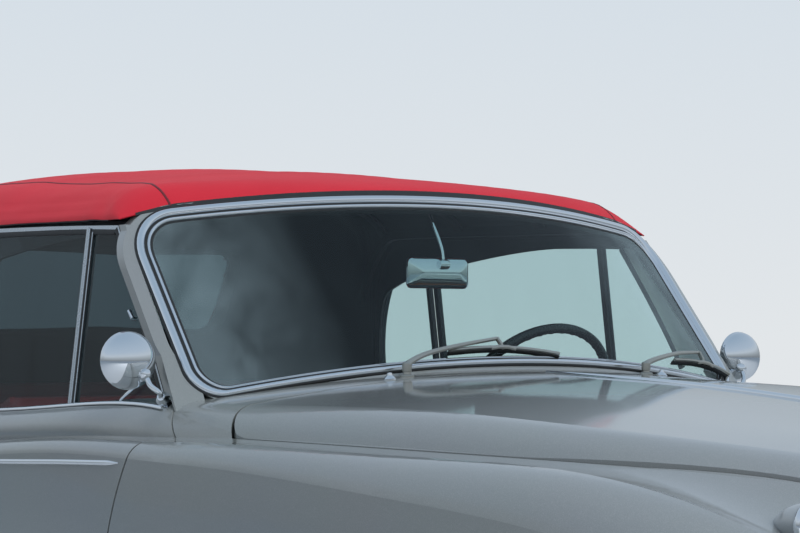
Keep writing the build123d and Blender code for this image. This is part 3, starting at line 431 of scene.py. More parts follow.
def glass_finish(name, tint, mirror_share, dust):
    """Thin window glass: a tinted view through it, more mirroring at a flat look, and dust at the sides."""
    made, tree, place = new_finish(name)
    smear = pattern(tree, place, "Noise", {"Scale": 6.0, "Detail": 5.0, "Distortion": 1.5})
    view = add_node(tree, "BsdfTransparent", {"Color": to_linear(tint)})
    film = spread(tree, smear, 0.0, 0.05, 0.45, 0.8)
    shine = add_node(tree, "BsdfGlossy", {"Color": to_linear("#f4f8fa"), "Roughness": film})
    outside = maths(tree, "SUBTRACT", 1.0, add_node(tree, "NewGeometry").outputs["Backfacing"])
    slant = maths(tree, "MULTIPLY", add_node(tree, "Fresnel", {"IOR": 1.5}).outputs[0], outside)
    pane = mixed_skins(tree, maths(tree, "MULTIPLY", slant, mirror_share), view, shine)
    off_centre = maths(tree, "ABSOLUTE", add_node(tree, "SeparateXYZ", {0: place}).outputs["X"])
    unwiped = spread(tree, off_centre, 0.05, 1.0, 0.36, 0.62)
    slanting = add_node(tree, "Mapping", {
        "Scale": (9.0, 9.0, 1.2), "Rotation": (0.0, 0.55, 0.0), "Vector": place}).outputs[0]
    streaks = pattern(tree, slanting, "Noise", {"Scale": 1.0, "Detail": 5.0, "Distortion": 0.6})
    dust_share = maths(tree, "MULTIPLY", unwiped, spread(tree, streaks, 0.35 * dust, dust, 0.3, 0.75))
    dry_film = add_node(tree, "BsdfDiffuse", {"Color": to_linear("#a3b9c0")})
    finish_off(tree, mixed_skins(tree, maths(tree, "MULTIPLY", dust_share, outside), pane, dry_film))
    return made


glass = glass_finish("laminated windscreen glass", "#eef7f5", 0.6, 0.24)
side_glass = glass_finish("toughened side glass", "#e9f1f3", 0.5, 0.04)
# The rear window's grey tint is painted shade: it darkens the cabin seen through the windscreen, and is not a smoked
# pane.
rear_glass_painted_shade = glass_finish("rear window glass darkened as painted shade", "#7c898e", 0.5, 0.04)
dress(side_glass, "door_glass_left", "door_glass_right", "quarter_glass_left", "quarter_glass_right")
dress(rear_glass_painted_shade, "rear_window")


def screen_pane(thickness, rings=10):
    """The windscreen's glass: rings of points from its edge to its middle, on both faces."""
    edge = screen_edge(31, 18, 25, 42, 78)
    middle = Vector((0, 1212))
    points, faces = [], []
    count = len(edge)
    for depth in (2.5, 2.5 + thickness):
        for ring in range(rings):
            for p in edge:
                q = middle.lerp(p, 1 - ring / rings)
                points.append(screen_point(q.x, q.y, depth))
        points.append(screen_point(middle.x, middle.y, depth))
    side = rings * count + 1
    for face in (0, 1):
        start = face * side
        for ring in range(rings - 1):
            for k in range(count):
                a, b = start + ring * count + k, start + ring * count + (k + 1) % count
                faces.append((a, b, b + count, a + count))
        last = start + (rings - 1) * count
        for k in range(count):
            faces.append((last + k, last + (k + 1) % count, start + side - 1))
    for k in range(count):
        faces.append((k, side + k, side + (k + 1) % count, (k + 1) % count))
    return points, faces


piece("windscreen_pane", screen_pane(6), glass, "body", swap=("windscreen_glass",))

# Soft top: red double-layer mohair canvas, stretched over three bows and tacked to the header and the tub.
# It is one sheet, sewn from three widths, with a dark lining under it; it rolls over the header in front and ends over
# the windows at a rubber seal.

# Sections of the roof: station, top, knee's x and z, rail's x and z, base's x and z.
ROOF = ((-330, 1424, 566, 1404, 706, 1356, 756, 900), (-118, 1463, 580, 1432, 710, 1362, 756, 900),
        (250, 1502, 580, 1450, 707, 1368, 754, 900), (800, 1540, 575, 1482, 699, 1371, 750, 900),
        (1180, 1537, 548, 1474, 676, 1360, 734, 900), (1400, 1494, 500, 1426, 634, 1306, 700, 900),
        (1570, 1410, 420, 1340, 535, 1215, 590, 900))
ROOF_FLOOR = 880.0
FAN_Y = 1078.0
HEM = ((-700, 1320), (-230, 1346), (-178, 1348.5), (-22, 1355), (115, 1358.5), (260, 1361.5), (410, 1364.5),
       (745, 1370), (868, 1371), (930, 1345), (975, 1300), (1010, 1240), (1040, 1150), (1058, 1060), (1066, 990),
       (1072, 880), (2000, 880))


def between(table, at, column):
    """A value from a table of rows, read at some place in its first column."""
    for a, b in zip(table, table[1:]):
        if at <= b[0] or b is table[-1]:
            t = min(1, max(0, (at - a[0]) / (b[0] - a[0])))
            return a[column] + (b[column] - a[column]) * t


def roof_row(y):
    """The roof's section values at one station, curved softly between the bows."""
    i = max(0, min(len(ROOF) - 2, sum(1 for r in ROOF if r[0] <= y) - 1))
    a, b = ROOF[i], ROOF[i + 1]
    before, after = ROOF[max(0, i - 1)], ROOF[min(len(ROOF) - 1, i + 2)]
    gap = b[0] - a[0]
    t = (y - a[0]) / gap
    values = []
    for k in range(1, 8):
        into = (b[k] - before[k]) / (b[0] - before[0]) * gap
        out = (after[k] - a[k]) / (after[0] - a[0]) * gap
        values.append((2 * t**3 - 3 * t**2 + 1) * a[k] + (t**3 - 2 * t**2 + t) * into
                      + (3 * t**2 - 2 * t**3) * b[k] + (t**3 - t**2) * out)
    return values


half_cache = {}


def roof_half(y):
    """Half of the roof's section at a station: (angle from upright, reach) pairs about the roof's floor line."""
    key = round(max(-330, min(1570, y)))
    if key not in half_cache:
        top, knee_x, knee_z, rail_x, rail_z, base_x, base_z = roof_row(key)
        drop = top - knee_z
        crown = (knee_x**2 + drop**2) / (2 * drop)
        line = [(knee_x * k / 10, top - crown + sqrt(crown**2 - (knee_x * k / 10) ** 2)) for k in range(10)]
        lean = atan2(knee_x, crown - drop)
        inward = Vector((-sin(lean), -cos(lean)))
        reach_to_rail = Vector((rail_x - knee_x, rail_z - knee_z))
        turn_radius = reach_to_rail.dot(reach_to_rail) / (2 * reach_to_rail.dot(inward))
        centre = Vector((knee_x, knee_z)) + inward * turn_radius
        start = -inward
        end = (Vector((rail_x, rail_z)) - centre).normalized()
        turning = start.angle(end)
        for k in range(9):
            a = turning * k / 8
            spoke = Vector((start.x * cos(a) + start.y * sin(a), -start.x * sin(a) + start.y * cos(a)))
            line.append(tuple(centre + spoke * turn_radius))
        line += [(rail_x + (base_x - rail_x) * k / 6, rail_z + (base_z - rail_z) * k / 6) for k in range(1, 7)]
        line.append((base_x + 5, base_z - 40))
        half_cache[key] = [(atan2(x, z - ROOF_FLOOR), sqrt(x * x + (z - ROOF_FLOOR) ** 2)) for x, z in line]
    return half_cache[key]


def roof_reach(angle, y):
    """How far the roof's section reaches at an angle from upright."""
    table = roof_half(y)
    angle = abs(angle)
    low, high = 0, len(table) - 1
    while high - low > 1:
        middle = (low + high) // 2
        if table[middle][0] <= angle:
            low = middle
        else:
            high = middle
    a, b = table[low], table[high]
    t = (angle - a[0]) / (b[0] - a[0])
    return a[1] + (b[1] - a[1]) * t


def last_that(low, high, steps, holds):
    """The last value of a span for which a test still holds, found by halving."""
    for _ in range(steps):
        middle = (low + high) / 2
        if holds(middle):
            low = middle
        else:
            high = middle
    return low


def roof_hit(origin_y, ray):
    """Where a ray from the roof's floor line meets the roof: its section, rounded into the sloping back."""
    origin, blend_width = Vector((0, origin_y, ROOF_FLOOR)), 150.0

    def is_inside(distance):
        """Whether the ray's point at that distance is still under the roof."""
        p = origin + ray * distance
        section = roof_reach(atan2(p.x, p.z - ROOF_FLOOR), p.y) - sqrt(p.x**2 + (p.z - ROOF_FLOOR) ** 2)
        back = (1547 - 0.613 * max(0.0, p.z - 925) - p.y) * 0.85
        h = max(blend_width - abs(section - back), 0.0) / blend_width
        return min(section, back) - h * h * blend_width / 4 > 0

    return origin + ray * last_that(0.0, 1200.0, 26, is_inside)


def bell(value, middle, width):
    """A soft bell of height 1 about a middle."""
    return 2.7 ** -(((value - middle) / width) ** 2)


def roof_puckers(p):
    """How far the canvas stands out or in: ridges over the bows, folds at the front corners and along the hem."""
    over_bow = sum(3.0 * bell(p.y, bow, 75) for bow in (180, 560, 930))
    side_way = min(1.0, max(0.0, (abs(p.x) - 590) / 70))
    along = min(1, max(0, (p.y + 130) / 220))
    crease = -3.5 * bell(p.z - 1401 - 0.022 * p.y, 0, 8) * side_way * along
    crease += -2.2 * bell(p.z - 1381 - 0.016 * p.y, 0, 5) * side_way * along
    fold = 2.2 * bell(p.y, -60, 75) * side_way * sin((p.y * 0.6 - p.z) / 13.0 + 1.5 * noise.noise(p / 60))
    slack = 2.2 * noise.noise(Vector((p.x / 130, p.y / 260, p.z / 60))) * side_way
    slack += 0.9 * noise.noise(Vector((p.x / 60, p.y / 90, p.z / 28 + 5))) * side_way
    return (over_bow - 1.5) * (1 - side_way) * min(1, max(0, (p.y + 120) / 200)) + crease + fold + slack


TUB = ("deck", "quarter_left", "quarter_right", "boot_lid")
ROLL, ROLL_ROWS, FRONT_ROWS, BACK_ROWS, COLUMNS = 0.042, 12, 96, 44, 84


def hem_angle(y):
    """The angle from upright at which the canvas ends on that station."""
    hem = between(HEM, y, 1)
    return last_that(0.9, 1.62, 22, lambda angle: ROOF_FLOOR + roof_reach(angle, y) * cos(angle) > hem)


def header_foot(x):
    """Where the canvas ends in front: along the windscreen's frame, and straight on to the window's corner."""
    across = abs(x)
    z = 1423 - 0.1177e-3 * across**2 if across < 600 else 1380.6 - 0.27 * (across - 600)
    return screen_point(x, z, -3)


def roof_point(t, w):
    """A point of the canvas: t runs from the header (0) to the tub behind (2), w from right (-1) to left (1).
    Below 0 it rolls down over the header to the windscreen's frame, at -1."""
    if t < 0:
        root, ray = roof_point(0.0, w)
        back, _ = roof_point(ROLL, w)
        near = back.lerp(root, -t)
        return near.lerp(root.lerp(header_foot(root.x), -t), -t), ray
    if t <= 1:
        y = -230.0
        for _ in range(8):
            angle = hem_angle(y) * w
            reach_now = roof_reach(angle, y)
            x, z = reach_now * sin(angle), ROOF_FLOOR + reach_now * cos(angle)
            front = SCREEN_BASE[0] + (z - SCREEN_BASE[1]) * SCREEN_RAKE + SCREEN_BOW * x * x + 3
            y = front + (FAN_Y - front) * t
        p = roof_hit(y, Vector((sin(angle), 0, cos(angle))))
        return p, Vector((sin(angle), 0, cos(angle)))
    angle = hem_angle(FAN_Y) * w
    lean = back_limit(w) * (t - 1)
    ray = Vector((sin(angle), cos(angle) * sin(lean), cos(angle) * cos(lean)))
    return roof_hit(FAN_Y, ray), ray


limit_cache = {}


def back_limit(w):
    """How far the canvas turns down behind before it meets the tub."""
    angle = hem_angle(FAN_Y) * w

    def is_above_tub(lean):
        """Whether the canvas is still over the tub when it leans back so far."""
        p = roof_hit(FAN_Y, Vector((sin(angle), cos(angle) * sin(lean), cos(angle) * cos(lean))))
        hit = skin_of(*TUB).ray_cast(Vector((p.x * MM, min(p.y, 1700) * MM, 1.2)), Vector((0, 0, -1)))[0]
        return hit is None or p.z > hit.z / MM + 3

    if w not in limit_cache:
        limit_cache[w] = last_that(0.0, radians(95), 20, is_above_tub)
    return limit_cache[w]


def roof_grid(inset, first_t, last_w):
    """The canvas or its lining as rows of points: a sheet that lies inset under the outside."""
    stations = [k / ROLL_ROWS - 1 for k in range(ROLL_ROWS)] if first_t < 0 else []
    stations += [max(ROLL, first_t) + (1 - max(ROLL, first_t)) * k / FRONT_ROWS for k in range(FRONT_ROWS + 1)]
    stations += [1 + (k + 1) / BACK_ROWS for k in range(BACK_ROWS)]
    rows = []
    for t in stations:
        row = []
        for j in range(COLUMNS + 1):
            w = (j / COLUMNS * 2 - 1)
            w = (1.35 * w - 0.35 * w**3) * last_w
            p, ray = roof_point(t, w)
            row.append(p + ray * (roof_puckers(p) * min(1, 1 + t) - inset))
        rows.append(row)
    return rows


WINDOW_HALF, WINDOW_LOW, WINDOW_HIGH, WINDOW_CORNER = 368.0, 1122.0, 1348.0, 46.0


def in_window(p):
    """Whether a point of the sloping back lies in the rear window's opening."""
    middle = (WINDOW_LOW + WINDOW_HIGH) / 2
    across = max(0.0, abs(p.x) - WINDOW_HALF + WINDOW_CORNER)
    up = max(0.0, abs(p.z - middle) - (WINDOW_HIGH - WINDOW_LOW) / 2 + WINDOW_CORNER)
    return p.y >= 1150 and sqrt(across**2 + up**2) < WINDOW_CORNER


def slab_faces(columns, rows, openings=()):
    """Faces of a slab: a grid of points, the same grid on its other face, and rims round it and round open cells."""
    line, count = columns + 1, (columns + 1) * (rows + 1)
    faces, walls = [], []
    for i in range(rows):
        for j in range(columns):
            a = i * line + j
            b, c, d = a + 1, a + line + 1, a + line
            if (i, j) not in openings:
                faces += [(a, b, c, d), (count + a, count + d, count + c, count + b)]
                continue
            for other, p, q in (((i - 1, j), a, b), ((i + 1, j), d, c), ((i, j - 1), a, d), ((i, j + 1), b, c)):
                if other not in openings:
                    walls.append((p, q))
    rim = list(range(columns)) + [i * line + columns for i in range(rows)]
    rim += [rows * line + j for j in range(columns, 0, -1)] + [i * line for i in range(rows, 0, -1)]
    walls += zip(rim, rim[1:] + rim[:1])
    return faces + [(p, q, count + q, count + p) for p, q in walls]


def sheet_of(rows, thickness):
    """A thin closed sheet from rows of points on its outside, with the rear window's opening left out."""
    wide = len(rows[0])
    outer = [p for row in rows for p in row]
    cells = {(i, j): [i * wide + j, i * wide + j + 1, (i + 1) * wide + j + 1, (i + 1) * wide + j]
             for i in range(len(rows) - 1) for j in range(wide - 1)}
    shell = bmesh.new()
    verts = [shell.verts.new(p) for p in outer]
    for corners in cells.values():
        shell.faces.new([verts[k] for k in corners])
    shell.normal_update()
    normals = [v.normal.copy() for v in shell.verts]
    shell.free()
    outward = 1 if sum(n.z for n in normals) > 0 else -1
    inner = [p - n * outward * thickness for p, n in zip(outer, normals)]
    openings = {cell for cell, corners in cells.items() if in_window(sum((outer[k] for k in corners), Vector()) / 4)}
    return outer + inner, slab_faces(wide - 1, len(rows) - 1, openings)


canvas, tree, place = new_finish("red woven mohair canvas")
weft, warp = (pattern(tree, place, "Wave", {"Scale": 190.0, "Distortion": 1.2, "Detail": 1.0, "bands_direction": way})
              for way in "XY")
fading = pattern(tree, place, "Noise", {"Scale": 3.2, "Detail": 6.0, "Roughness": 0.6})
fibre = add_node(tree, "TexNoise", {"Scale": 420.0, "Detail": 3.0, "Vector": place})
nap = maths(tree, "MULTIPLY_ADD", maths(tree, "MAXIMUM", weft, warp), 0.6, fibre.outputs["Fac"])
dye = mottled(tree, two_tones(tree, fading, "#a81826", "#c22635"), fibre.outputs["Color"], 0.22)
finish_off(tree, add_node(tree, "BsdfPrincipled", {
    "Base Color": dye, "Roughness": 0.8, "Sheen Weight": 0.22, "Sheen Roughness": 0.4,
    "Sheen Tint": to_linear("#ff7a7a"), "Normal": relief(tree, nap, 0.25, 0.0006)}))
lining_cloth = one_pattern("black cotton lining", "Noise", {"Scale": 260.0, "Detail": 3.0},
                           {"Roughness": 0.9, "Sheen Weight": 0.2}, tones=("#17161a", "#28262b"))

canvas_rows = roof_grid(0.0, -1.0, 1.0)
soft_top = piece("soft_top_canvas", sheet_of(canvas_rows, 2.5), canvas, "body", swap=("soft_top",),
                 smooth_to=60)
lining = piece("soft_top_lining", sheet_of(roof_grid(11.0, 0.06, 0.985), 1.5), lining_cloth, "body",
               smooth_to=60)


def on_canvas(row, x):
    """The canvas's point on one of its rows, at that distance across."""
    j = next(k for k in range(1, COLUMNS) if row[k].x >= x or k == COLUMNS - 1)
    a, b = row[j - 1], row[j]
    t = (x - a.x) / (b.x - a.x) if abs(b.x - a.x) > 0.01 else 0
    return a.lerp(b, t)


# The outer seam: how far across it lies at each station.
SEAM = ((-300, 604), (-172, 602), (-110, 590), (-27, 570), (100, 563), (300, 560), (540, 560), (820, 556), (1100, 545),
        (1300, 500), (1600, 440))
# The raised seam along each side is real, but its dark red is painted shade standing for the shadow in the seam's
# groove.
seam_cord_painted_shade = one_pattern("dark red seam cord, darkened as painted groove shadow", "Noise", {"Scale": 300.0, "Detail": 3.0}, {"Roughness": 0.6},
                     tones=("#4a141a", "#6a1d24"))
for side, word in SIDES:
    across = [on_canvas(row, side * between(SEAM, row[COLUMNS // 2 + side * 20].y, 1)) for row in canvas_rows[::2]]
    path = [p for p in across if p.z > 1010]
    ups = [Vector((p.x * 0.55, 0, 620) if p.y < 1000 else (p.x * 0.55, 520, 300)).normalized() for p in path]
    seam = sweep(path, [(-3.2, -1.5), (-2.6, 0.9), (-0.8, 1.6), (1.0, 1.6), (2.8, 0.9), (3.2, -1.5)], ups)
    piece(f"canvas_seam_{word}", seam, seam_cord_painted_shade, "body", smooth_to=70)

gasket_points, gasket_rows, gasket_half = [], 81, 676
for k in range(gasket_rows):
    x = -gasket_half + 2 * gasket_half * k / (gasket_rows - 1)
    foot = header_foot(x).z
    drop = 10.5 if abs(x) < 560 else max(4.5, 10.5 - (abs(x) - 560) * 0.06)
    low, high, normal = screen_point(x, foot - drop), screen_point(x, foot + 1.5), screen_normal(x)
    gasket_points += [low - normal * 6, low + normal * 3.6, high + normal * 3.2, high - normal * 10]
piece("header_gasket", (gasket_points, tube_faces(gasket_rows, 4)), rubber, "body")

for side, word in SIDES:
    edge = [row[COLUMNS if side > 0 else 0] for row in canvas_rows[ROLL_ROWS:ROLL_ROWS + FRONT_ROWS]]
    path = [p + Vector((-side * 6.5, 0, -1.0)) for p in edge if p.y < 1062]
    strip = sweep(path, [(-4, -1.8), (4, -1.8), (4, 8), (-4, 8)], Vector((0, 0, 1)))
    piece(f"canvas_edge_seal_{word}", strip, rubber, "body", smooth_to=50)

# Side windows: drop glasses in slim frames of satin chromium plate, with rubber channels inside them.
# A twin post with a rubber seal stands between the swivelling vent pane and the drop glass.

SIDE_BASE = (740.0, 950.0)
SIDE_LEAN = radians(6.6)


def join(*shapes):
    """Several shapes as one list of points and one of faces."""
    points, faces = [], []
    for more_points, more_faces in shapes:
        start = len(points)
        points += [tuple(p) for p in more_points]
        faces += [tuple(start + i for i in f) for f in more_faces]
    return points, faces


def round_section(width, height, sides=12):
    """A full round or oval section."""
    return [(width / 2 * cos(2 * pi * k / sides), height / 2 * sin(2 * pi * k / sides)) for k in range(sides)]


def side_point(y, up, out=0.0, side=1):
    """A point in the plane of the side windows: along the car, up the glass, and out of it."""
    x = SIDE_BASE[0] - up * sin(SIDE_LEAN) + out * cos(SIDE_LEAN)
    return Vector((side * x, y, SIDE_BASE[1] + up * cos(SIDE_LEAN) + out * sin(SIDE_LEAN)))


def side_normal(side=1):
    """The way that the side windows' plane faces."""
    return Vector((side * cos(SIDE_LEAN), 0, sin(SIDE_LEAN)))


satin, tree, place = new_finish("satin chromium frame, dark inside")
drawn = pattern(tree, place, "Noise", {"Scale": 70.0, "Detail": 4.0})
bright = add_node(tree, "BsdfPrincipled",
                  {"Base Color": to_linear("#c3cbd3"), "Metallic": 1.0, "Roughness": spread(tree, drawn, 0.2, 0.32)})
inner_trim = add_node(tree, "BsdfPrincipled", {"Base Color": to_linear("#15171a"), "Roughness": 0.5})
facing = add_node(tree, "SeparateXYZ", {0: add_node(tree, "NewGeometry").outputs["Normal"]}).outputs["X"]
outwards = maths(tree, "MULTIPLY", facing, add_node(tree, "SeparateXYZ", {0: place}).outputs["X"])
finish_off(tree, mixed_skins(tree, maths(tree, "LESS_THAN", outwards, 0.25), bright, inner_trim))
dress(satin, "door_frame_left", "door_frame_right", "quarter_frame_left", "quarter_frame_right")


def side_bar(line, low, high, inner, outer, side):
    """A flat bar in the windows' plane along (y, up) stations: low to high across it, inner to outer through it."""
    points = []
    for i, (y, up) in enumerate(line):
        a, b = line[max(0, i - 1)], line[min(len(line) - 1, i + 1)]
        along = Vector((b[0] - a[0], b[1] - a[1])).normalized()
        across = Vector((-along.y, along.x))
        for s, h in ((low, inner), (low, outer - 1), (low + 1, outer), (high - 1, outer), (high, outer - 1),
                     (high, inner)):
            points.append(side_point(y + across.x * s, up + across.y * s, h, side))
    return points, tube_faces(len(line), 6)


def up_at(z):
    """How far up the side windows' plane a height lies."""
    return (z - SIDE_BASE[1]) / cos(SIDE_LEAN)


# The upper edge of the drop glass: its height at each station.
GLASS_TOP = ((-138, 1337), (0, 1343.5), (150, 1348.5), (300, 1352), (450, 1355.5), (600, 1358.8), (745, 1361))
top_line = [(y, up_at(between(GLASS_TOP, y, 1))) for y in (-125 + 858 * k / 24 for k in range(25))]
front_line = [(-508 + 370 * k / 12, -60 + (up_at(1337) + 60) * k / 12) for k in range(13)]


def upright(y, foot, head, half, outer, side):
    """An upright bar of a window, about a station."""
    return side_bar([(y, foot), (y, up_at(head))], -half, half, 2, outer, side)


for side, word in SIDES:
    door = f"door_{word}"
    channel = join(side_bar(top_line, -20, -8.5, -6, 7.2, side), side_bar(front_line, -17, -6, -6, 7.6, side),
                   upright(2.5, 0, 1331, 1.5, 7.4, side), upright(-11, 0, 1330, 3.8, 9.5, side),
                   side_bar([(729, -4), (729, up_at(1352))], -6, 3, -6, 7.2, side))
    piece(f"window_channel_{word}", channel, rubber, door, smooth_to=50)
    post = join(upright(-3.2, -4, 1336, 4, 10.5, side), upright(8.2, -4, 1338, 4.2, 9.0, side),
                upright(-16.6, -2, 1328, 1.6, 8.2, side))
    piece(f"vent_post_{word}", post, satin, door, smooth_to=50)
    lever = [side_point(*p, side) for p in ((-236, 8, 4), (-250, 22, 12), (-300, 44, 14), (-330, 60, 12))]
    catch = [side_point(*p, side) for p in ((-262, 190, 3), (-262, 190, 12), (-250, 206, 15))]
    fittings = join(sweep(smooth_line(lever, 4), round_section(6, 6, 8), side_normal(side)),
                    sweep(catch, round_section(9, 9, 8), Vector((0, 0, 1))))
    piece(f"vent_fittings_{word}", fittings, chrome, door)
    path, x = [], side_point(0, 0, 9, side).x
    for y in (-440 + 1170 * k / 30 for k in range(31)):
        hit = skin_of(door).ray_cast(Vector((x * MM, y * MM, 1.3)), Vector((0, 0, -1)))[0]
        if hit is not None:
            path.append(Vector((x, y, hit.z / MM + 0.5)))
    piece(f"waist_strip_{word}", sweep(path, half_round(14, 6), Vector((0, 0, 1))), chrome, door)

# Door mirrors: pressed and chromium-plated shells on a ball joint and a curved stem, screwed to the doors.
# The glass faces backwards; the shell's dome shows the sky and the ground in it.


def turned(profile, centre, axis, sides=40, closed=False):
    """A turned shape: (radius, along) points about an axis through a centre; closed joins the last to the first."""
    axis, centre = Vector(axis).normalized(), Vector(centre)
    across = axis.orthogonal().normalized()
    other = axis.cross(across)
    points = []
    for r, h in profile:
        for k in range(sides):
            a = 2 * pi * k / sides
            points.append(centre + axis * h + (across * cos(a) + other * sin(a)) * max(r, 0.01))
    return points, tube_faces(len(profile), sides, closed)


mirror_face = one_pattern("silvered mirror glass", "Noise", {"Scale": 40.0, "Detail": 4.0},
                          {"Base Color": to_linear("#e8eef0"), "Metallic": 1.0}, rough=(0.0, 0.04))

for side, word in SIDES:
    centre, axis = Vector((side * 806, -396, 1055)), Vector((side * 0.03, -1, 0.03)).normalized()
    dome = [(57.5 * cos(radians(a)), 4 + 33 * sin(radians(a)) ** 1.15) for a in range(0, 90, 6)] + [(0, 37)]
    shell = turned([(54, -7), (57, -6.2), (59, -3), (59, 0), (57.8, 3)] + dome, centre, axis)
    joint = turned([(0, -1), (8, 0), (12.5, 4), (13, 9), (9.5, 14), (4, 17), (0, 17.5)],
                   centre + axis * 24 + Vector((-side * 22, -2, -27)), axis + Vector((-side * 0.3, 0, -0.5)), 20)
    start = centre + axis * 34 + Vector((-side * 24, 0, -33))
    hit, normal = side_point(-431, up_at(977), 8, side), Vector((side * 0.7, -0.65, 0.3)).normalized()
    base = hit + normal * 16
    stem_line = [start, start + Vector((-side * 4, -12, -18)), base + Vector((side * 8, -10, 8)), base]
    stem = sweep(smooth_line(stem_line, 6), round_section(11, 11, 12), Vector((0, 1, 0.2)))
    boss = turned([(15, -10), (15, 4), (13, 9), (9, 14), (8, 17), (0, 18)], hit, normal, 28)
    piece(f"mirror_shell_{word}", join(shell, joint, stem, boss), chrome, f"door_{word}",
          swap=(f"mirror_{word}",))
    glass_disc = turned([(0, -7.6), (53, -7.6), (53.5, -6.8), (0, -6.8)], centre, axis)
    piece(f"mirror_glass_{word}", glass_disc, mirror_face, f"door_{word}")

# Interior mirror: a chromium-plated case whose back rises in four soft slopes, clamped to a stalk under the header.
# A stamped foot is screwed to the header, and each slope catches the light at its own angle.


def rounded_edge(half_wide, half_high, radius, turn_step=15):
    """The outline of a rounded rectangle about its middle, as (across, up) points."""
    edge = []
    for across, up, start in ((1, 1, 0), (-1, 1, 90), (-1, -1, 180), (1, -1, 270)):
        for turned_by in range(0, 91, turn_step):
            angle = radians(start + turned_by)
            edge.append((across * (half_wide - radius) + radius * cos(angle),
                         up * (half_high - radius) + radius * sin(angle)))
    return edge


case_low, case_high, case_left, case_right = 1211.0, 1276.0, -78.0, 81.0
case_tall = case_high - case_low
case_rows = ((-296, 0), (-299, -2), (-304, -2), (-308, 0), (-311.5, 5), (-314, 12), (-316, 20), (-317.5, 27),
             (-318, 32))
case_points = []
for y, inset in case_rows:
    bulge = 3 if inset > 4 else 0
    for across, up in rounded_edge((case_right - case_left) / 2 - inset, case_tall / 2 - inset,
                                   max(1.0, 12.0 - 0.3 * inset)):
        x, z = (case_left + case_right) / 2 + across, (case_low + case_high) / 2 + up
        case_points.append(Vector((x, y - bulge * sin(3 * (z - case_low) / case_tall), z)))
case = case_points, tube_faces(len(case_rows), len(case_points) // len(case_rows))
stalk_line = smooth_line([(10, -314, 1262), (10, -306, 1300), (4, -284, 1350), (0, -262, 1392)], 5)
stalk = sweep(stalk_line, round_section(8, 8, 10), Vector((0, -1, 0.3)))
clamp = turned([(0, -13), (10, -12), (12, -8), (12, 8), (10, 12), (0, 13)], (8, -316, 1262), (1, 0, 0), 20)
foot = turned([(0, -2), (16, -2), (16, 2), (12, 5), (0, 5)], (0, -262, 1393), (0, -0.4, -1), 20)
piece("interior_mirror_case", join(case, stalk, clamp, foot), chrome, "body", swap=("interior_mirror",),
      smooth_to=50)

# Wipers: cast arms with a dull satin plate, pivoting in nuts on the scuttle, and black rubber blades in cast spines.
# Parked, both lie low across the glass to the driver's side.


def on_top(names, x, y):
    """The point of an upper panel at that place in plan, in millimetres, and its outward direction."""
    hit, normal, _, _ = skin_of(*names).ray_cast(Vector((x * MM, y * MM, 1.7)), Vector((0, 0, -1)))
    return hit / MM, normal


cast = one_pattern("dull satin cast metal", "Noise", {"Scale": 160.0, "Detail": 5.0},
                   {"Base Color": to_linear("#b9b6ad"), "Metallic": 1.0}, rough=(0.3, 0.5))

# For each wiper: its pivot in plan, the arm's line and the blade's line.
WIPERS = (((-303, -640),
           [(-303, -640, 1044), (-290, -634, 1051), (-240, -618, 1067), (-150, -600, 1083), (-38, -583, 1098)],
           [(-168, -590, 1068), (-100, -594, 1073), (-34, -597, 1074), (40, -600, 1069), (109, -603, 1060)]),
          ((322, -636),
           [(322, -636, 1041), (338, -628, 1047), (390, -604, 1056), (490, -548, 1065), (606, -482, 1066)],
           [(481, -538, 1045), (545, -516, 1043), (606, -498, 1036), (655, -488, 1025), (694, -481, 1010)]))
arm_shapes, rubber_shapes = [], []
for (x, y), arm_line, blade_line in WIPERS:
    hit, normal = on_top(("scuttle",), x, y)
    rise = arm_line[0][2] - hit.z
    nut = [(15, -4), (15, 2), (13, 4), (8, 5), (7.5, rise * 0.4), (9.5, rise * 0.45), (10, rise * 0.8), (9.5, rise + 3),
           (7, rise + 6), (0, rise + 7)]
    path = smooth_line(arm_line, 6)
    ends = len(path) - 1
    scale = [(1 - 0.45 * k / ends, 1 - 0.4 * k / ends) for k in range(ends + 1)]
    arm = sweep(path, [(-6.5, -3), (6.5, -3), (7, 0.5), (5, 4.5), (0, 6), (-5, 4.5), (-7, 0.5)],
                Vector((0, -0.75, 0.66)), scale=scale)
    tip, hook, out = Vector(arm_line[-1]), Vector(blade_line[2]), screen_normal(x)
    link = sweep([tip, tip.lerp(hook, 0.5) + Vector((0, -4, 0)), hook], round_section(11, 8, 8), Vector((1, 0, 0)))
    along = (Vector(blade_line[3]) - Vector(blade_line[1])).normalized()
    saddle = [hook + along * s + out * h for s, h in ((-30, 4), (-12, 9), (12, 9), (30, 4))]
    blade = smooth_line(blade_line, 6)
    spine = sweep([p + out * 5.4 + Vector((0, 0, 2)) for p in blade],
                  [(-3, -2.5), (3, -2.5), (3, 2.4), (0, 3.4), (-3, 2.4)], out)
    arm_shapes += [turned(nut, (x, y, hit.z), (0, 0, 1), 24), arm, link,
                   sweep(saddle, round_section(9, 9, 8), out), spine]
    rubber_shapes.append(sweep(blade, [(-3.4, 3), (-3.4, -2), (-1.4, -8), (1.4, -8), (3.4, -2), (3.4, 3)], out))
piece("wiper_arms", join(*arm_shapes), cast, "body", swap=("wipers",), smooth_to=30)
piece("wiper_rubbers", join(*rubber_shapes), rubber, "body", smooth_to=30)

jets = []
for x in (-352, 352):
    hit, normal = on_top(("scuttle",), x, -652)
    jets.append(turned([(13, -3), (13, 2), (10, 5), (6, 8), (5, 13), (0, 15)], hit, normal, 20))
piece("washer_jets", join(*jets), chrome, "body")

# Steering wheel and instruments: a black moulded rim on a steel frame, with finger ribs, and a walnut dashboard.
# The wheel turns on its column; the dials sit in the walnut under a padded black roll.

black_moulding = one_pattern("black moulded rim", "Noise", {"Scale": 50.0, "Detail": 4.0},
                             {"Base Color": to_linear("#101113")}, rough=(0.18, 0.36))

WHEEL_CENTRE, WHEEL_TILT, RIM_RADIUS = Vector((360, -168, 948)), radians(32), 205.0


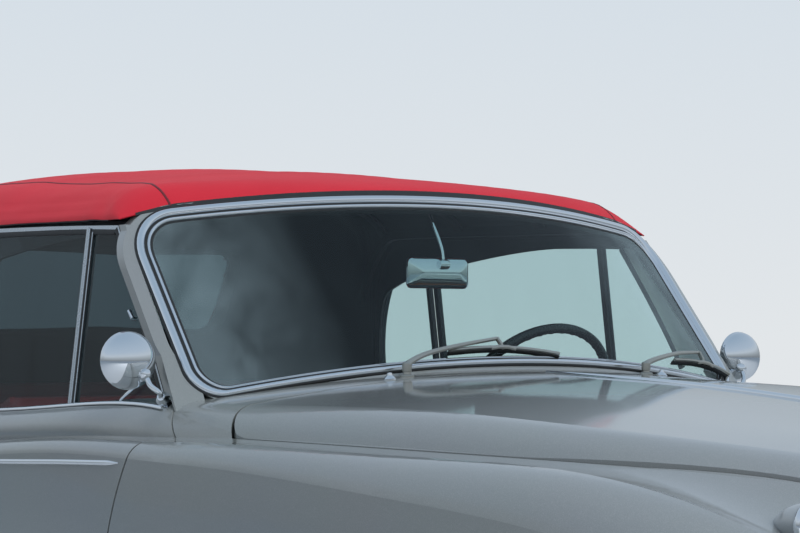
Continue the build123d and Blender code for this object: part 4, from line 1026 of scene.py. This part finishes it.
def wheel_point(angle, radius, height=0.0):
    """A point of the steering wheel: an angle from its top, a radius, and a height towards the driver."""
    across, up = sin(angle) * radius, cos(angle) * radius
    return WHEEL_CENTRE + Vector((across, -sin(WHEEL_TILT) * up + cos(WHEEL_TILT) * height, cos(WHEEL_TILT) * up
                                  + sin(WHEEL_TILT) * height))


wheel_axis = wheel_point(0, 0, 1) - WHEEL_CENTRE
rim_points, around, about = [], 160, 14
for i in range(around):
    a = 2 * pi * i / around
    rib = 1.1 * (sin(a * 40) > 0.2)
    for k in range(about):
        b = 2 * pi * k / about
        thick = 11.5 + (rib if cos(b) < 0.3 else 0)
        rim_points.append(wheel_point(a, RIM_RADIUS + cos(b) * thick, sin(b) * thick * 1.05))
spokes = []
for angle in (radians(90), radians(-90), radians(180)):
    line = [wheel_point(angle, r, h) for r, h in ((30, 2), (80, 1), (140, -1), (200, 0))]
    spokes.append(sweep(smooth_line(line, 5), [(-17, -3), (17, -3), (18, 0), (12, 4), (0, 5), (-12, 4), (-18, 0)],
                        wheel_axis, scale=[(1.15 - 0.35 * k / 15, 1) for k in range(16)]))
hub = turned([(0, -45), (24, -45), (26, -20), (38, -14), (41, -4), (38, 6), (26, 11), (0, 12)], WHEEL_CENTRE,
             wheel_axis, 32)
piece("steering_rim", join((rim_points, tube_faces(around, about, closed=True)), *spokes, hub), black_moulding,
      "steering_wheel", swap=("steering_wheel",), smooth_to=50)
horn = turned([(22, 10), (24, 11), (24, 14), (20, 17), (0, 19)], WHEEL_CENTRE, wheel_axis, 32)
piece("horn_button", horn, chrome, "steering_wheel")

walnut, tree, place = new_finish("varnished walnut veneer")
along_grain = add_node(tree, "Mapping", {"Scale": (2.0, 9.0, 16.0), "Vector": place}).outputs[0]
figure = pattern(tree, along_grain, "Noise", {"Scale": 3.0, "Detail": 8.0, "Distortion": 1.8})
pores = add_node(tree, "TexNoise", {"Scale": 60.0, "Detail": 3.0, "Vector": along_grain}).outputs["Color"]
veneer = mottled(tree, ramp_of(tree, figure, ((0.3, "#2b1208"), (0.7, "#7a4420"))), pores, 0.35)
finish_off(tree, add_node(tree, "BsdfPrincipled", {
    "Base Color": veneer, "Roughness": 0.35, "Coat Weight": 0.7, "Coat Roughness": 0.06}))
dress(walnut, "dashboard")
dress(black_moulding, "column")

roll_top = one_pattern("padded black dash covering", "Voronoi", {"Scale": 420.0}, {"Roughness": 0.62},
                       tones=("#0d0e11", "#1a1c21"), bumps=(0.3, 0.0005))
roll_section = [(-36, -16), (-36, 6), (-20, 13), (20, 15), (75, 12), (88, 2), (84, -10), (66, -16)]
roll_points, roll_rows, roll_half = [], 61, 655
for x in (-roll_half + 2 * roll_half * k / (roll_rows - 1) for k in range(roll_rows)):
    hit, _ = on_top(("dashboard",), x, -372)
    end = min(1.0, (roll_half - abs(x)) / 25 + 0.4)
    roll_points += [Vector((x, -415 + dy, hit.z + dz * end)) for dy, dz in roll_section]
piece("dash_roll", (roll_points, tube_faces(roll_rows, len(roll_section))), roll_top, "body",
      smooth_to=50)

dial_finish, tree, place = new_finish("black dial with pale marks")
marks = maths(tree, "GREATER_THAN", pattern(tree, place, "Wave", {"Scale": 46.0, "bands_direction": "X"}), 0.93)
dial_face = two_tones(tree, maths(tree, "MULTIPLY", marks, 0.35), "#0c0d0e", "#c9cdbd")
finish_off(tree, add_node(tree, "BsdfPrincipled", {
    "Base Color": dial_face, "Roughness": 0.3, "Coat Weight": 0.8, "Coat Roughness": 0.02}))
rings, dial_faces = [], []
for x, z, r in ((-150, 868, 46), (0, 872, 38), (-75, 815, 26), (75, 815, 26), (150, 868, 46), (-420, 862, 30)):
    hit = skin_of("dashboard").ray_cast(Vector((x * MM, 0.4, z * MM)), Vector((0, -1, 0)))[0]
    if hit is not None:
        at_dash = Vector((x, hit.y / MM, z))
        rings.append(turned([(r + 5, -2), (r + 5, 3), (r + 2, 6), (r, 4), (r, -2)], at_dash, (0, 1, 0), 36))
        dial_faces.append(turned([(0, -2), (r - 0.5, -2), (r - 0.5, 2), (0, 2.2)], at_dash, (0, 1, 0), 36))
piece("dial_rings", join(*rings), chrome, "body")
piece("dial_faces", join(*dial_faces), dial_finish, "body")

# Seats: deep red hide over springs and horsehair, with sewn pleats inside a plain border.
# The two front seats have separate cushions and backs, and the rear bench spans the tub.

hide_red, tree, place = new_finish("deep red hide")
pores = pattern(tree, place, "Voronoi", {"Scale": 520.0})
folds = pattern(tree, place, "Noise", {"Scale": 14.0, "Detail": 6.0, "Distortion": 0.8})
finish_off(tree, add_node(tree, "BsdfPrincipled", {
    "IOR": 1.45, "Base Color": two_tones(tree, folds, "#64161a", "#8a262a"),
    "Roughness": spread(tree, folds, 0.34, 0.55),
    "Normal": relief(tree, maths(tree, "MULTIPLY_ADD", folds, 1.5, pores), 0.35, 0.0008)}))


def cushion(size, pleats, crown, border=44, soft=30):
    """A sewn cushion about its own middle: pleats run along it inside a plain border, and it rises between seams."""
    wide, long, high = size
    across, down = 72, 40
    pleat_height, seam_depth, seam_half = 7, 3.5, 4.5
    top, bottom = [], []
    for i in range(down + 1):
        v = i / down * 2 - 1
        for j in range(across + 1):
            u = j / across * 2 - 1
            x = (1.28 * u - 0.28 * u**3) * wide / 2
            y = (1.28 * v - 0.28 * v**3) * long / 2
            corner_in = Vector((max(0, abs(x) - wide / 2 + soft), max(0, abs(y) - long / 2 + soft))).length
            drop = soft - sqrt(max(0.0, soft**2 - min(soft, corner_in) ** 2))
            z = high / 2 + crown * (1 - (2 * x / wide) ** 2) * (1 - (2 * y / long) ** 2) - drop
            inside = min(wide / 2 - abs(x), long / 2 - abs(y)) - border
            if inside > 0:
                pleat = sin(pi * ((x / wide * pleats + 0.5) % 1)) ** 0.45 - 0.35
                z += pleat_height * min(1, inside / (2 * pleat_height)) * pleat
            elif inside > -2 * seam_half:
                z -= seam_depth * (1 - abs(inside + seam_half) / seam_half)
            top.append(Vector((x, y, z)))
            bottom.append(Vector((x * 0.985, y * 0.985, -high / 2)))
    return top + bottom, slab_faces(across, down)


def placed(shape, centre, lean):
    """A shape leaned back about the car's width and put at its place."""
    matrix = Matrix.Translation(Vector(centre)) @ Matrix.Rotation(lean, 4, "X")
    return [matrix @ Vector(p) for p in shape[0]], shape[1]


for side, word in SIDES:
    base = placed(cushion((520, 500, 120), 9, 22), (side * 350, 300, 455), radians(4))
    back = placed(cushion((530, 520, 110), 9, 16), (side * 350, 590, 700), radians(76))
    box = placed(cushion((500, 470, 100), 1, 0, border=400), (side * 350, 300, 345), 0)
    seat = piece(f"front_seat_hide_{word}", join(base, back, box), hide_red, "body",
                 swap=(f"front_seat_{word}",), smooth_to=60)
bench = placed(cushion((1130, 470, 130), 18, 24), (0, 1130, 640), radians(4))
bench_back = placed(cushion((1150, 400, 110), 18, 16), (0, 1375, 780), radians(70))
rear = piece("rear_seat_hide", join(bench, bench_back), hide_red, "body", swap=("rear_seat",),
             smooth_to=60)

# Wheels: pressed steel discs enamelled in the body's colour, chromium hub caps and black cross-ply tyres.
# The tread's ribs and the ribbed sidewall are in the rubber's relief.

tyre_rubber, tree, place = new_finish("black tyre rubber with ribs")
width_at = maths(tree, "ABSOLUTE", add_node(tree, "SeparateXYZ", {0: place}).outputs["X"])
zigzag = pattern(tree, place, "Wave", {"Scale": 22.0, "bands_direction": "Z"})
wander = maths(tree, "MULTIPLY_ADD", zigzag, 0.003, maths(tree, "SUBTRACT", width_at, 0.715))
grooves = spread(tree, maths(tree, "SINE", maths(tree, "MULTIPLY", wander, 300.0)), 0.0, 1.0, -0.9, -0.5)
scuff = pattern(tree, place, "Noise", {"Scale": 40.0, "Detail": 5.0})
finish_off(tree, add_node(tree, "BsdfPrincipled", {
    "Roughness": 0.72, "Base Color": two_tones(tree, scuff, "#131313", "#242322"),
    "Normal": relief(tree, grooves, 0.9, 0.004)}))
TRACK, TYRE_RADIUS, AXLES = 715.0, 333.0, {"front": -1525.0, "rear": 1275.0}
hub_cap = [(118, 27), (121, 30), (119, 34), (108, 40), (96, 47), (80, 53), (62, 57), (57, 59), (54, 57), (50, 58),
           (40, 64), (24, 68), (8, 69.5), (0, 69.8)]
rim_ring = [(150, 62), (153, 66), (160, 69), (168, 70), (176, 72.5), (178, 74), (177, 70), (168, 67.5),
            (160, 66), (152, 61)]
for end, axle_y in AXLES.items():
    for side, word in SIDES:
        dress(tyre_rubber, f"tyre_{end}_{word}")
        dress(paint, f"wheel_{end}_{word}")
        middle, wheel = Vector((side * TRACK, axle_y, TYRE_RADIUS)), f"wheel_{end}_{word}"
        piece(f"hub_cap_{end}_{word}", turned(hub_cap, middle, (side, 0, 0), 56), chrome, wheel)
        ring = turned(rim_ring, middle, (side, 0, 0), 72, closed=True)
        piece(f"rim_ring_{end}_{word}", ring, chrome, wheel)

# Lamps: fluted lenses and clear covers in chromium rims; the wing lamps carry a small red jewel on top.
# The lenses are pressed glass over silvered bowls, and the rear lamps are red.

lens = one_pattern("fluted headlamp lens", "Wave", {"Scale": 36.0, "bands_direction": "X"},
                   {"Base Color": to_linear("#d7dde0"), "Metallic": 0.75, "Roughness": 0.18, "Coat Weight": 1.0,
                    "Coat Roughness": 0.02}, bumps=(0.7, 0.003))
ruby = one_pattern("ruby lamp glass", "Voronoi", {"Scale": 160.0},
                   {"Roughness": 0.12, "Coat Weight": 1.0, "Coat Roughness": 0.02}, tones=("#5c0505", "#b3120d"),
                   bumps=(0.5, 0.002))
wing_pod, tree, place = new_finish("wing lamp, clear in front and enamelled behind")
behind_ring = maths(tree, "GREATER_THAN", add_node(tree, "SeparateXYZ", {0: place}).outputs["Y"], -2.148)
clear = add_node(tree, "BsdfPrincipled", {"Base Color": to_linear("#c4cdd3"), "Metallic": 0.4, "Roughness": 0.08})
enamel = add_node(tree, "BsdfPrincipled",
                  {"Base Color": to_linear("#94989a"), "Metallic": 0.3, "Roughness": 0.36, "Coat Weight": 1.0})
finish_off(tree, mixed_skins(tree, behind_ring, clear, enamel))
dress(lens, "headlamps")
dress(wing_pod, "wing_lamps")
dress(ruby, "tail_lamps")

headlamp_rim = [(113.5, -2), (116, 5), (115, 12), (109, 19), (102, 20), (98, 17.5), (99.5, 9), (104, -2)]
pod_rim = [(32.5, -9), (35.5, -6), (36.5, 0), (35.5, 5), (32, 8), (28.5, 8.5), (27.5, 5), (29, -9)]
for side, word in SIDES:
    rim = turned(headlamp_rim, (side * 640, -2325, 672), (0, -1, 0), 64, closed=True)
    piece(f"headlamp_rim_{word}", rim, chrome, "body")
    pod = Vector((side * 628, -2150, 838))
    jewel_at, jewel_up = pod + Vector((0, 16, 30)), (0, -0.2, 1)
    seat = turned([(9, -3), (9, 2), (7, 4), (0, 4.5)], jewel_at, jewel_up, 20)
    rim = join(turned(pod_rim, pod, (0, -1, 0), 48, closed=True), seat)
    piece(f"wing_lamp_rim_{word}", rim, chrome, "body")
    jewel = turned([(6.5, 3), (6.5, 6), (5, 9.5), (2.5, 11.5), (0, 12)], jewel_at, jewel_up, 20)
    piece(f"wing_lamp_jewel_{word}", jewel, ruby, "body")

# Bright work of the body: grille and bumpers, handles, the bonnet's centre strip, sills and blank number plates.
# All of it but the blank plates, which are white enamel, is chromium-plated brass or steel, bolted or clipped on.

dress(chrome, "grille", "front_bumper", "rear_bumper")


def lid_strip(names, stations, width, height):
    """A strip on an upper panel along (x, y) stations, with tapered ends."""
    hits = [on_top(names, p.x, p.y) for p in smooth_line([(x, y, 0) for x, y in stations], 6)]
    tapers = [min(1, 0.5 + min(k, len(hits) - 1 - k) / 5) for k in range(len(hits))]
    return sweep([hit for hit, _ in hits], half_round(width, height), [normal for _, normal in hits],
                 scale=[(taper, taper) for taper in tapers])


tail_lamp_across, tail_lamp_high = 632, 640
for side, word in SIDES:
    points = []
    for across, up in rounded_edge(47, 84, 14):
        x, z = side * tail_lamp_across + across, tail_lamp_high + up
        hit = skin_of("tail", f"quarter_{word}").ray_cast(Vector((x * MM, 2.6, z * MM)), Vector((0, -1, 0)))[0]
        if hit is not None:
            outward = Vector((across, 0, up)).normalized()
            points += [hit / MM + outward * s + Vector((0, h, 0))
                       for s, h in ((-3, -4), (-3, 8), (1, 10), (5, 7), (7, -4))]
    piece(f"tail_lamp_bezel_{word}", (points, tube_faces(len(points) // 5, 5, closed=True)), chrome, "body",
          smooth_to=50)

centre_strip = lid_strip(("bonnet",), [(0, -705), (0, -1100), (0, -1500), (0, -1900), (0, -2130)], 12, 6)
piece("bonnet_centre_strip", centre_strip, chrome, "bonnet")
for side, word in SIDES:
    door, lever = f"door_{word}", []
    for y, z, stand in ((560, 792, 6), (580, 793, 13), (650, 796, 13), (688, 797, 8)):
        point, normal = on_flank((door,), y, z, side)
        lever.append(point + normal * stand)
    push = turned([(15, -3), (15, 3), (12, 5), (11, 12), (8, 14), (0, 15)], point, normal, 24)
    rosette = turned([(9, -3), (9, 3), (7, 6), (0, 7)], on_flank((door,), 565, 792, side)[0], normal, 20)
    grip = sweep(smooth_line(lever, 6), round_section(19, 12, 12), Vector((0, 0, 1)))
    piece(f"door_handle_{word}", join(grip, push, rosette), chrome, door, smooth_to=50)
    sill_line = [(-900, 262), (-450, 258), (0, 257), (450, 258), (800, 262)]
    sill = flank_strip(("floor", f"wing_{word}", f"quarter_{word}"), sill_line, side, 16, 7)
    piece(f"sill_strip_{word}", sill, chrome, "body")

hit, _ = on_top(("boot_lid",), 0, 2080)
grip_line = [hit + Vector(step) for step in ((-62, 0, 2), (-48, 2, 20), (48, 2, 20), (62, 0, 2))]
boot_grip = sweep(smooth_line(grip_line, 6), round_section(14, 10, 12), Vector((0, 1, 0.4)))
piece("boot_handle", boot_grip, chrome, "boot_lid", smooth_to=50)

plate_finish = one_pattern("blank white plate enamel", "Noise", {"Scale": 80.0, "Detail": 3.0}, {"Roughness": 0.3},
                           tones=("#d9d8d0", "#e9e8e2"))


def plate(wide, high, place, facing, thick=3):
    """A blank plate with rounded corners."""
    facing = Vector(facing).normalized()
    across = Vector((0, 0, 1)).cross(facing).normalized()
    up = facing.cross(across)
    edge = rounded_edge(wide / 2, high / 2, 12)
    points = [Vector(place) + across * x * s + up * y * s + facing * h
              for s, h in ((1, 0), (1, thick - 0.8), (0.992, thick)) for x, y in edge]
    return points, tube_faces(3, len(edge))


piece("number_plates", join(plate(330, 110, (0, -2380, 372), (0, -1, 0)), plate(330, 130, (0, 2344, 560), (0, 1, 0.1))),
      plate_finish, "body")

# Cabin: hide door trims, wool carpet, pedals and gear lever, hood bows and rails, and the rear window's frame.
# The bows are ash painted black and the rails steel; they fold in a real car, and stand still here.

carpet = one_pattern("dark grey wool carpet", "Voronoi", {"Scale": 380.0}, {"Roughness": 0.95, "Sheen Weight": 0.2},
                     tones=("#1b1c1f", "#34363a"), bumps=(0.8, 0.002))

carpet_wide, carpet_long, carpet_front, carpet_thickness, carpet_cells = 1280, 1260, -480, 6, 24
floor_height = 285
pile = []
for i in range(carpet_cells + 1):
    for j in range(carpet_cells + 1):
        x = -carpet_wide / 2 + carpet_wide * j / carpet_cells
        y = carpet_front + carpet_long * i / carpet_cells
        hit = skin_of("floor", "rear_floor").ray_cast(Vector((x * MM, y * MM, 0.5)), Vector((0, 0, -1)))[0]
        z = hit.z / MM if hit is not None else floor_height
        pile.append(Vector((x, y, z + carpet_thickness + 1.2 * noise.noise(Vector((x / 90, y / 90, 0))))))
backing = [p - Vector((0, 0, carpet_thickness)) for p in pile]
rug = piece("floor_carpet", (pile + backing, slab_faces(carpet_cells, carpet_cells)), carpet, "body",
            smooth_to=60)

TRIM_FACE, TRIM_FRONT, TRIM_LENGTH, TRIM_FOOT, TRIM_HEIGHT = 697.0, -390, 1070, 330, 560
TRIM_COLUMNS, TRIM_ROWS, PLEAT_PITCH = 40, 16, 107
for side, word in SIDES:
    trim_points = []
    for is_front, grow in ((False, 0), (True, -3)):
        for i in range(TRIM_ROWS + 1):
            for j in range(TRIM_COLUMNS + 1):
                y = TRIM_FRONT + grow + (TRIM_LENGTH - 2 * grow) * j / TRIM_COLUMNS
                z = TRIM_FOOT - grow + (TRIM_HEIGHT + 2 * grow) * i / TRIM_ROWS
                pleat = 1.6 * abs(sin(pi * (y - TRIM_FRONT) / PLEAT_PITCH)) if 5 < i < 12 else 0.8
                trim_points.append(Vector((side * (TRIM_FACE - 5 - pleat if is_front else TRIM_FACE), y, z)))
    trim = trim_points, slab_faces(TRIM_COLUMNS, TRIM_ROWS)
    piece(f"door_trim_{word}", trim, hide_red, f"door_{word}", smooth_to=50)
    pull_line = [(side * 690, 330, 700), (side * 668, 350, 704), (side * 668, 500, 704), (side * 690, 520, 700)]
    grip = sweep(smooth_line(pull_line, 6), round_section(20, 26, 12), Vector((side, 0, 0)))
    piece(f"door_pull_{word}", grip, hide_red, f"door_{word}", smooth_to=60)

pedals = []
for x in (270, 370, 450):
    pedals.append(sweep([(x, -560, 520), (x, -500, 420), (x, -455, 365)], round_section(14, 14, 8), Vector((1, 0, 0))))
    pedals.append(sweep([(x - 30, -452, 362), (x + 30, -452, 362)], [(-30, -4), (30, -4), (30, 4), (-30, 4)],
                        Vector((0, 0.8, 0.6))))
piece("pedals", join(*pedals), black_moulding, "body")
lever_line = smooth_line([(40, -150, 300), (46, -120, 420), (60, -60, 560)], 5)
knob = turned([(0, -20), (12, -18), (20, -8), (21, 2), (16, 14), (7, 19), (0, 20)], (62, -52, 578), (0.1, 0.35, 1), 24)
gear = join(sweep(lever_line, round_section(12, 12, 10), Vector((1, 0, 0))), knob)
piece("gear_lever", gear, black_moulding, "body")

# The pillars' inner covers are near white: a pale painted metal made lighter still as painted sunlight falling on them.
pillar_cover_painted_sunlight = one_pattern("pillar cover enamel, whitened as painted sunlight", "Noise", {"Scale": 40.0, "Detail": 4.0},
                           {"Base Color": to_linear("#eef3ef"), "Coat Weight": 0.3}, rough=(0.3, 0.4))
bow_paint = one_pattern("dull black enamel", "Noise", {"Scale": 70.0, "Detail": 4.0},
                        {"Base Color": to_linear("#16181b")}, rough=(0.35, 0.55))

# The roof's side rail: its lower and upper edges as (station, height).
RAIL_LOW = ((-150, 1331), (-42, 1333), (86, 1332), (213, 1329), (345, 1321), (477, 1309), (624, 1293), (767, 1275),
            (862, 1252), (925, 1224), (961, 1152), (980, 1076), (990, 985))
RAIL_HIGH = ((-150, 1347), (-42, 1353), (86, 1357), (213, 1360), (345, 1363), (477, 1366), (624, 1369), (767, 1371),
             (868, 1368), (945, 1330), (1012, 1226), (1044, 1110), (1060, 990))


def under_roof(y, angle, depth):
    """A point under the roof's canvas, at an angle from the roof's middle."""
    ray = Vector((sin(angle), 0, cos(angle)))
    return roof_hit(y, ray) - ray * depth


bows = []
for y in (190, 560, 930):
    path = [under_roof(y, hem_angle(y) * 0.94 * (k / 24 - 1), 25) for k in range(49)]
    bows.append(sweep(path, [(-17, -6), (17, -6), (20, 0), (17, 6), (-17, 6), (-20, 0)],
                      [Vector((p.x, 0, 600)).normalized() for p in path]))
for side, _ in SIDES:
    path = [under_roof(y, hem_angle(min(y, 860)) * 0.955 * side, 22)
            - Vector((side * 3, 0, max(0, y - 880) ** 2 * 0.0062)) for y in range(-60, 1051, 30)]
    bows.append(sweep(path, [(-7, -13), (7, -13), (7, 13), (-7, 13)], Vector((0, 0, 1))))

for side, word in SIDES:
    lower, upper = (smooth_line([(y, z, 0) for y, z in rail], 4) for rail in (RAIL_LOW, RAIL_HIGH))
    points = [side_point(p.x, up_at(p.y), out, side)
              for a, b in zip(lower, upper) for p, out in ((a, -54), (a, -46), (b, -16), (b, -24))]
    piece(f"hood_side_rail_{word}", (points, tube_faces(len(lower), 4)), rubber, "body", smooth_to=60)
    cover_points, welt_path, cover_rows = [], [], 13
    for t in (k / (cover_rows - 1) for k in range(cover_rows)):
        front, rear = -402 + 246 * t, -308 + 186 * t**1.15
        cover_points += [side_point(y, up_at(1036 + 286 * t), out, side)
                         for y, out in ((front, -26), (front, -20), (rear, -20), (rear, -26))]
        welt_path.append(side_point(rear + 4, up_at(1030 + 292 * t), -24, side))
    cover = cover_points, tube_faces(cover_rows, 4)
    piece(f"pillar_trim_{word}", cover, pillar_cover_painted_sunlight, "body", smooth_to=40)
    welt = sweep(welt_path, [(-7, -4), (7, -4), (7, 4), (-7, 4)], side_normal(side))
    piece(f"pillar_welt_{word}", welt, rubber, "body", smooth_to=60)
piece("roof_bows", join(*bows), bow_paint, "body", smooth_to=35)


def on_back(x, z):
    """The canvas's point on its sloping back, at that distance across and height."""
    def is_under(y):
        """Whether the point is still under the canvas when it lies that far back."""
        d = sqrt(x * x + (z - ROOF_FLOOR) ** 2 + (y - FAN_Y) ** 2)
        ray = Vector((x, y - FAN_Y, z - ROOF_FLOOR)) / d
        return (roof_hit(FAN_Y, ray) - Vector((0, FAN_Y, ROOF_FLOOR))).length > d

    return Vector((x, last_that(1150.0, 1600.0, 24, is_under), z))


window_middle, window_half_high = (WINDOW_LOW + WINDOW_HIGH) / 2, (WINDOW_HIGH - WINDOW_LOW) / 2
corners = [(x, window_middle + z) for x, z in rounded_edge(WINDOW_HALF, window_half_high, WINDOW_CORNER, 10)]
frame_edge = []
for a, b in zip(corners, corners[1:] + corners[:1]):
    steps = max(1, int(sqrt((a[0] - b[0]) ** 2 + (a[1] - b[1]) ** 2) / 25))
    for x, z in ((a[0] + (b[0] - a[0]) * k / steps, a[1] + (b[1] - a[1]) * k / steps) for k in range(steps)):
        frame_edge.append((on_back(x, z), Vector((x, 0, z - window_middle)).normalized()))
moulding = [(-10, -3), (-9, 3.5), (-3, 5.5), (7, 5.5), (15, 3), (18, -1), (18, -3)]
inner_trim = [(-12, 3), (-11, -4), (-4, -6), (12, -6), (26, -3), (28, 3)]
for name, section, shift, finish, slot in (("rear_window_moulding", moulding, 0, chrome, "chrome"),
                                           ("rear_window_lining_trim", inner_trim, -13, rubber, "black_plastic")):
    points = [at + outward * s + Vector((0, h + shift, 0.6 * h)) for at, outward in frame_edge for s, h in section]
    piece(name, (points, tube_faces(len(frame_edge), len(section), closed=True)), finish, "body", smooth_to=45)
